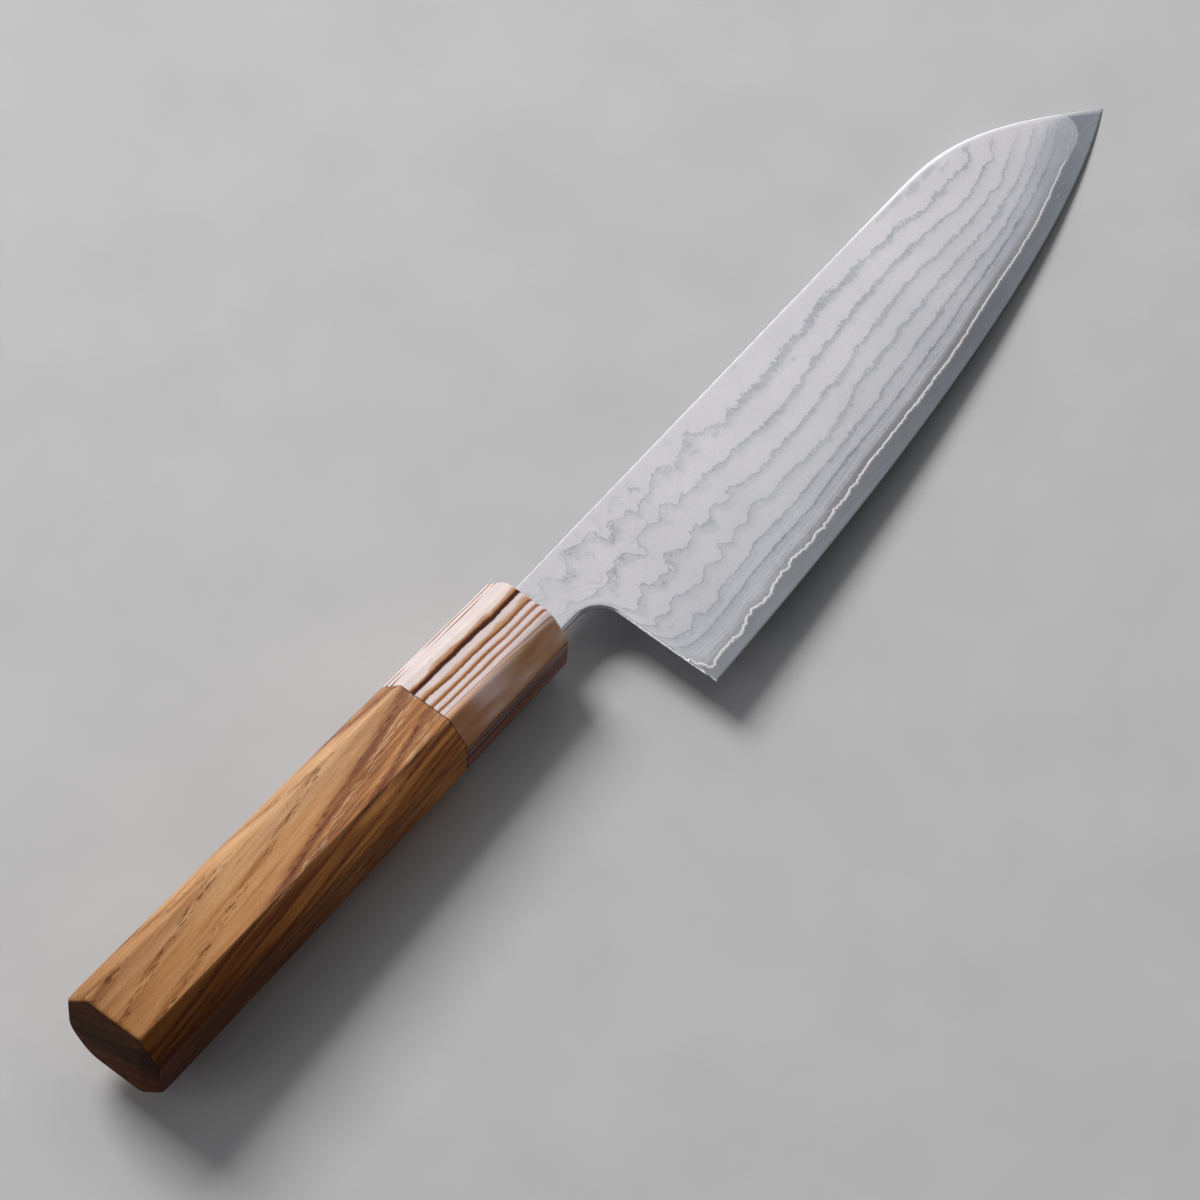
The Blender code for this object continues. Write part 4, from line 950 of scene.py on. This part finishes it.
    # painted shade: the edge-side wall, turned from the light, takes its own dark brown tone with a few paler lines in
    # place of the stripes above
    shaded_wall = g.math("MULTIPLY", g.step(g.dot(kn, (0.0, 1.0, 0.0)), -9.9, -10.8), g.step(g.dot(kn, (0.0, 0.0, 1.0)), 5.2, 3.6))
    wall_q = g.math("ADD", g.dot(kn, (0.0, 0.0, 1.0)), g.math("MULTIPLY", wave, 1.3))
    wall_shade_tone = g.ramp(wall_q, [(-6.5, lin(88, 36, 8)), (-3.2, lin(82, 28, 4)), (-1.9, lin(150, 72, 16)), (-1.2, lin(92, 34, 4)), (0.6, lin(74, 26, 4)), (1.3, lin(122, 88, 76)), (1.9, lin(96, 40, 8)), (2.5, lin(78, 28, 6)),
                                (3.0, lin(146, 116, 110)), (3.6, lin(90, 36, 8)), (4.1, lin(124, 54, 12)), (4.7, lin(190, 108, 44)), (5.2, lin(110, 48, 20)), (5.6, lin(176, 118, 80))], -7.0, 6.0)
    stripes = g.mix(g.math("MULTIPLY", shaded_wall, 0.9), stripes, wall_shade_tone)
    rough = g.math("MULTIPLY_ADD", fibre, 0.10, 0.14)
    normal = g.bump(g.math("ADD", g.math("MULTIPLY", mottle, 0.6), g.math("MULTIPLY", fibre, 0.15)), 0.00006, 0.25)
    b = g.bsdf.inputs
    b["Coat Weight"].default_value = 0.08
    b["Coat Roughness"].default_value = 0.08
    b["Specular IOR Level"].default_value = 0.15
    b["IOR"].default_value = 1.5
    return g.out(Base_Color=stripes, Roughness=rough, Normal=normal)


def handle_wood():
    g = Graph("ring_porous_wood")
    kn = g.attr("kn", True)
    along = g.dot(kn, (1.0, 0.0, 0.0))
    drift = g.signed(g.vmul(kn, (0.018, 0.05, 0.05)), 1.5, scale=1.0, detail=2.0)
    small = g.signed(g.vmul(kn, (0.10, 0.5, 0.5)), 0.35, scale=1.0, detail=2.0)
    w = g.math("ADD", g.dot(kn, (0.20, -1.0, -1.7)), g.math("ADD", drift, small))
    ring = g.math("FRACT", g.math("MULTIPLY_ADD", w, 1.0 / 6.6, 10.0 + 43.4 / 6.6))
    fibre_at = g.node("ShaderNodeCombineXYZ")
    g.put(fibre_at.inputs[0], along)
    g.put(fibre_at.inputs[1], g.dot(kn, (-0.075, 1.0, 0.0)))
    g.put(fibre_at.inputs[2], g.dot(kn, (-0.02, 0.0, 1.0)))
    fib = fibre_at.outputs[0]
    fine = g.noise(g.vmul(fib, (0.16, 5.5, 5.5)), scale=1.0, detail=3.0, rough=0.6)
    broad = g.noise(g.vmul(fib, (0.035, 0.75, 0.75)), scale=1.0, detail=3.0, rough=0.55)
    cloud = g.noise(g.vmul(kn, (0.03, 0.09, 0.09)), scale=1.0, detail=2.0)
    tone = g.ramp(ring, [(0.0, lin(152, 94, 46)), (0.10, lin(162, 104, 53)), (0.30, lin(183, 126, 72)), (0.75, lin(188, 131, 77)), (0.93, lin(178, 120, 68)), (1.0, lin(152, 94, 46))])
    tone = g.mix(g.step(broad, 0.38, 0.76), tone, lin(203, 148, 92))
    tone = g.mix(g.math("MULTIPLY", g.step(broad, 0.48, 0.28), 0.5), tone, lin(158, 100, 52))
    # reddish-brown heart zone with dark streaks and pale flecks
    heart = g.step(g.math("ADD", w, g.math("MULTIPLY_ADD", broad, 4.0, -2.0)), -32.0, -28.0)
    heart = g.math("MULTIPLY", heart, g.step(g.math("ADD", w, g.math("MULTIPLY", cloud, 6.0)), 18.0, 6.0))
    streaks = g.noise(g.vmul(fib, (0.030, 1.05, 1.05)), scale=1.0, detail=3.0, rough=0.6)
    red = g.ramp(streaks, [(0.32, lin(104, 58, 32)), (0.45, lin(140, 84, 46)), (0.56, lin(176, 116, 64)), (0.70, lin(198, 138, 82))])
    tone = g.mix(g.math("MULTIPLY", heart, 0.85), tone, red)
    band = g.math("MULTIPLY", heart, g.step(g.math("ABSOLUTE", g.math("SUBTRACT", ring, 0.16)), 0.20, 0.05))
    tone = g.mix(g.math("MULTIPLY", band, 0.66), tone, lin(116, 64, 42))
    sand = g.noise(g.vmul(fib, (1.6, 4.0, 4.0)), scale=1.0, detail=3.0, rough=0.75)
    tone = g.mix(1.0, tone, g.ramp(fine, [(0.25, (0.88, 0.85, 0.82)), (0.5, (1.0,) * 3), (0.75, (1.06, 1.05, 1.04))]), "MULTIPLY")
    tone = g.mix(1.0, tone, g.ramp(sand, [(0.25, (0.84, 0.82, 0.80)), (0.5, (1.0,) * 3), (0.75, (1.10, 1.10, 1.10))]), "MULTIPLY")
    tone = g.mix(1.0, tone, g.ramp(cloud, [(0.3, (0.93, 0.92, 0.90)), (0.7, (1.05, 1.05, 1.05))]), "MULTIPLY")
    # pores: short dark dashes, crowded just past each ring
    crowd = g.math("MULTIPLY", g.step(ring, 0.0, 0.03), g.step(ring, 0.30, 0.14))
    patchy = g.noise(g.vmul(fib, (0.16, 0.9, 0.9)), scale=1.0, detail=1.0)
    reach = g.math("MULTIPLY", g.math("MULTIPLY_ADD", crowd, 0.25, 0.085), g.math("MULTIPLY_ADD", patchy, 1.6, 0.16))
    pore = g.step(g.math("SUBTRACT", g.cells(g.vmul(fib, (0.30, 3.6, 3.6))), reach), 0.07, -0.06)
    pale = g.math("MULTIPLY", g.math("MULTIPLY", heart, g.step(w, -16.0, -19.0)), g.math("MULTIPLY", g.step(ring, 0.26, 0.34), g.step(ring, 0.80, 0.50)))
    pale = g.math("MULTIPLY", pale, g.step(g.dot(kn, (0.0, 0.0, 1.0)), 9.2, 9.9))
    fleck = g.step(g.math("SUBTRACT", g.cells(g.vmul(fib, (0.17, 4.2, 4.2), (7.3, 1.9, 4.4))), g.math("MULTIPLY", pale, 0.35)), 0.05, -0.09)
    fleck = g.math("MULTIPLY", fleck, pale)
    tone = g.mix(g.math("MULTIPLY", fleck, 0.58), tone, lin(228, 192, 144))
    shade = g.step(w, -19.0, -11.0)
    tone = g.mix(g.math("MULTIPLY", shade, 0.55), tone, g.mix(g.step(streaks, 0.36, 0.60), lin(84, 44, 20), lin(132, 84, 42)))
    tone = g.mix(g.math("MULTIPLY", pore, 0.86), tone, lin(92, 48, 24))
    # the edge side: darker toward the butt, lighter toward the ferrule, partly the wood's own dark streaks and partly
    # painted shade and painted light
    flank = g.step(g.dot(kn, (0.0, 1.0, 0.0)), -6.6, -7.6)
    deepen = g.ramp(along, [(-130.0, (0.45, 0.31, 0.15)), (-112.0, (0.56, 0.43, 0.26)), (-92.0, (0.78, 0.64, 0.50)), (-62.0, (1.66, 1.68, 1.60)), (-34.0, (1.85, 1.86, 1.80))], -130.0, -30.0)
    tone = g.mix(flank, tone, g.mix(1.0, tone, deepen, "MULTIPLY"))
    # painted shade: a dark, saturated brown on the edge-side wall, turned away from the light
    tone = g.mix(g.math("MULTIPLY", g.step(g.dot(kn, (0.0, 1.0, 0.0)), -11.0, -11.6), 0.48), tone, lin(60, 25, 4))
    lit = g.ramp(along, [(-130.0, (0.95, 0.95, 1.03)), (-112.0, (0.98, 1.02, 1.18)), (-95.0, (1.01, 1.09, 1.36)), (-60.0, (1.06, 1.18, 1.56)), (-34.0, (1.06, 1.19, 1.60))], -130.0, -30.0)
    tone = g.mix(flank, g.mix(1.0, tone, lit, "MULTIPLY"), tone)
    tone = g.mix(1.0, tone, g.ramp(along, [(-130.0, (0.80, 0.79, 0.77)), (-118.0, (0.88, 0.87, 0.86)), (-98.0, (1.0,) * 3), (-40.0, (1.05,) * 3)], -130.0, -30.0), "MULTIPLY")
    # painted shade and sheen on the top and spine-side chamfer: darker toward the butt, paler toward the ferrule
    upper = g.step(g.dot(kn, (0.0, 1.0, 1.0)), 11.0, 15.0)
    tone = g.mix(upper, tone, g.mix(1.0, tone, g.ramp(along, [(-130.0, (0.79, 0.82, 0.83)), (-112.0, (0.90, 0.94, 1.0)), (-95.0, (1.01, 1.11, 1.24)), (-60.0, (0.98, 1.10, 1.30)), (-34.0, (0.98, 1.10, 1.30))], -130.0, -30.0), "MULTIPLY"))
    # end grain at the butt is darker, partly its own tone and partly painted shade of the butt face turned from the
    # light; across the face it is darker in the middle, lighter toward the top and bottom
    geo = g.node("ShaderNodeNewGeometry")
    c, s = math.cos(PITCH), math.sin(PITCH)
    ends = g.step(g.math("ABSOLUTE", g.dot(geo.outputs["Normal"], (c, 0.0, -s))), 0.62, 0.93)
    end_tone = g.ramp(g.math("ADD", g.math("MULTIPLY", ring, 0.14), g.math("MULTIPLY", g.noise(g.vmul(kn, (0.2, 0.22, 1.7)), scale=1.0, detail=3.0, rough=0.6), 0.82)),
                      [(0.2, lin(34, 15, 9)), (0.5, lin(56, 28, 16)), (0.8, lin(84, 48, 26))])
    end_tone = g.mix(1.0, end_tone, g.ramp(g.dot(kn, (0.0, 0.24, 1.0)), [(-11.0, (1.50, 1.40, 1.15)), (-6.0, (1.50, 1.36, 1.10)), (-3.6, (1.35, 1.16, 0.92)), (-1.6, (0.60, 0.46, 0.42)), (0.4, (0.30, 0.20, 0.20)), (4.0, (0.34, 0.25, 0.25)), (6.8, (0.95, 0.84, 0.70)), (11.0, (1.05, 1.0, 0.9))], -11.0, 11.0), "MULTIPLY")
    end_tone = g.mix(g.math("MULTIPLY", pore, 0.7), end_tone, lin(60, 34, 20))
    tone = g.mix(g.math("MULTIPLY", ends, 0.9), tone, end_tone)
    rough = g.math("MULTIPLY_ADD", fine, 0.18, 0.36)
    rough = g.math("ADD", rough, g.math("MULTIPLY", pore, 0.2))
    rough = g.math("ADD", rough, g.math("MULTIPLY", ends, 0.35))
    relief = g.math("SUBTRACT", g.math("MULTIPLY", fine, 0.35), pore)
    normal = g.bump(relief, 0.00010, 0.5)
    g.bsdf.inputs["Specular IOR Level"].default_value = 0.11
    return g.out(Base_Color=tone, Roughness=rough, Normal=normal)


def simple_material(name, base, dark, stretch, rough, bump):
    """Plain material for the parts inside the handle, by position: grain stretched along the handle."""
    g = Graph(name)
    pos = g.node("ShaderNodeNewGeometry").outputs["Position"]
    n = g.noise(g.vmul(pos, tuple(1000.0 * s for s in stretch)), scale=1.0, detail=3.0, rough=0.6)
    n2 = g.noise(g.vmul(pos, (300.0, 300.0, 300.0)), scale=1.0, detail=2.0)
    colour = g.ramp(g.math("ADD", g.math("MULTIPLY", n, 0.7), g.math("MULTIPLY", n2, 0.3)), [(0.3, dark), (0.7, base)])
    return g.out(Base_Color=colour, Roughness=g.math("MULTIPLY_ADD", n, 0.2, rough - 0.1), Normal=g.bump(n, bump, 0.4))


# ---------------------------------------------------------------- build the pieces
curl_pts = [p for c in CURLS for p in through(c, 0.08)]
CURL_NEAR = KDTree(len(curl_pts))
for i, p in enumerate(curl_pts):
    CURL_NEAR.insert((p[0], p[1], 0.0), i)
CURL_NEAR.balance()

side_steel = patterned_steel()
core = build_core("blade_core", core_steel())
right = build_layer("side_layer_right", 1, side_steel)
left = build_layer("side_layer_left", -1, side_steel)
ferrule = build_ferrule(ferrule_resin())
grip = build_wood(handle_wood())

for piece, node, slot in ((core, "core_steel", "core_steel"), (right, "cladding_right", "patterned_steel"),
                          (left, "cladding_left", "patterned_steel"), (ferrule, "ferrule", "ferrule_resin"),
                          (grip, "handle_body", "handle_wood")):
    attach(piece, "root")
    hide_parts(node)

inner = {"tang_dowel": simple_material("raw_dowel_wood", lin(206, 172, 126), lin(168, 130, 86), (0.12, 3.0, 3.0), 0.62, 0.00008),
         "tang_adhesive": simple_material("cured_resin", lin(206, 190, 142), lin(182, 160, 108), (0.5, 0.5, 0.5), 0.34, 0.00003),
         "mouth_seal": simple_material("dark_filler", lin(58, 52, 48), lin(34, 30, 28), (2.0, 2.0, 2.0), 0.55, 0.00005)}
for node, m in inner.items():
    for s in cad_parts[node].material_slots:
        s.material = m

# ---------------------------------------------------------------- floor, light, camera
mesh = bpy.data.meshes.new("floor")
mesh.from_pydata([(-3, -3, 0), (3, -3, 0), (3, 3, 0), (-3, 3, 0)], [], [(0, 1, 2, 3)])
floor = bpy.data.objects.new("floor", mesh)
bpy.context.scene.collection.objects.link(floor)
g = Graph("pale_floor")
pos = g.node("ShaderNodeNewGeometry").outputs["Position"]
n = g.noise(g.vmul(pos, (40.0, 40.0, 40.0)), scale=1.0, detail=4.0)
g.out(Base_Color=g.ramp(n, [(0.3, lin(188, 188, 190)), (0.7, lin(194, 194, 195))]), Roughness=0.85)
mesh.materials.append(g.mat)

world = bpy.data.worlds.new("studio")
bpy.context.scene.world = world
world.use_nodes = True
world.node_tree.nodes["Background"].inputs[0].default_value = (0.93, 0.96, 1.0, 1.0)
world.node_tree.nodes["Background"].inputs[1].default_value = 0.11

PSI = 0.89428664


def stage_dir(x, y, z):
    """Direction in the world from one given in image-right, image-up-along-the-floor, up."""
    c, s = math.cos(-PSI), math.sin(-PSI)
    return Vector((c * x - s * y, s * x + c * y, z))


def softbox(name, direction, distance, size, watts, colour=(1.0, 1.0, 1.0)):
    d = stage_dir(*direction).normalized()
    lamp = bpy.data.lights.new(name, "AREA")
    lamp.shape = "RECTANGLE"
    lamp.size, lamp.size_y = size
    lamp.energy = watts
    lamp.color = colour
    obj = bpy.data.objects.new(name, lamp)
    bpy.context.scene.collection.objects.link(obj)
    obj.location = d * distance
    obj.rotation_euler = (-d).to_track_quat("-Z", "Y").to_euler()
    return obj


softbox("key", (-0.60, 0.76, 0.92), 2.4, (1.0, 1.0), 54.0, (1.0, 0.985, 0.965))
softbox("rim", (-0.12, 0.95, 0.28), 1.2, (0.90, 0.45), 2.5)
softbox("side", (0.95, -0.26, 0.22), 1.2, (0.70, 0.25), 0.20)
softbox("over", (0.22, 0.56, 0.86), 1.3, (1.3, 1.1), 2.1)
softbox("strip", (-0.79, -0.47, 0.39), 1.2, (0.60, 0.18), 1.0)
softbox("strip_high", (-0.68, -0.33, 0.66), 1.2, (0.40, 0.16), 0.55)

cam_data = bpy.data.cameras.new("camera")
cam = bpy.data.objects.new("camera", cam_data)
bpy.context.scene.collection.objects.link(cam)
cam.location = (-0.53144966, -0.41069139, 1.14377552)
look = Vector((-0.00922198, 0.00860774, -0.00000233)) - cam.location
cam.rotation_euler = look.to_track_quat("-Z", "Y").to_euler()
cam_data.sensor_width = 36.0
cam_data.lens = 190.539
cam_data.clip_start, cam_data.clip_end = 0.05, 20.0
bpy.context.scene.camera = cam
bpy.context.scene.view_settings.view_transform = "Standard"
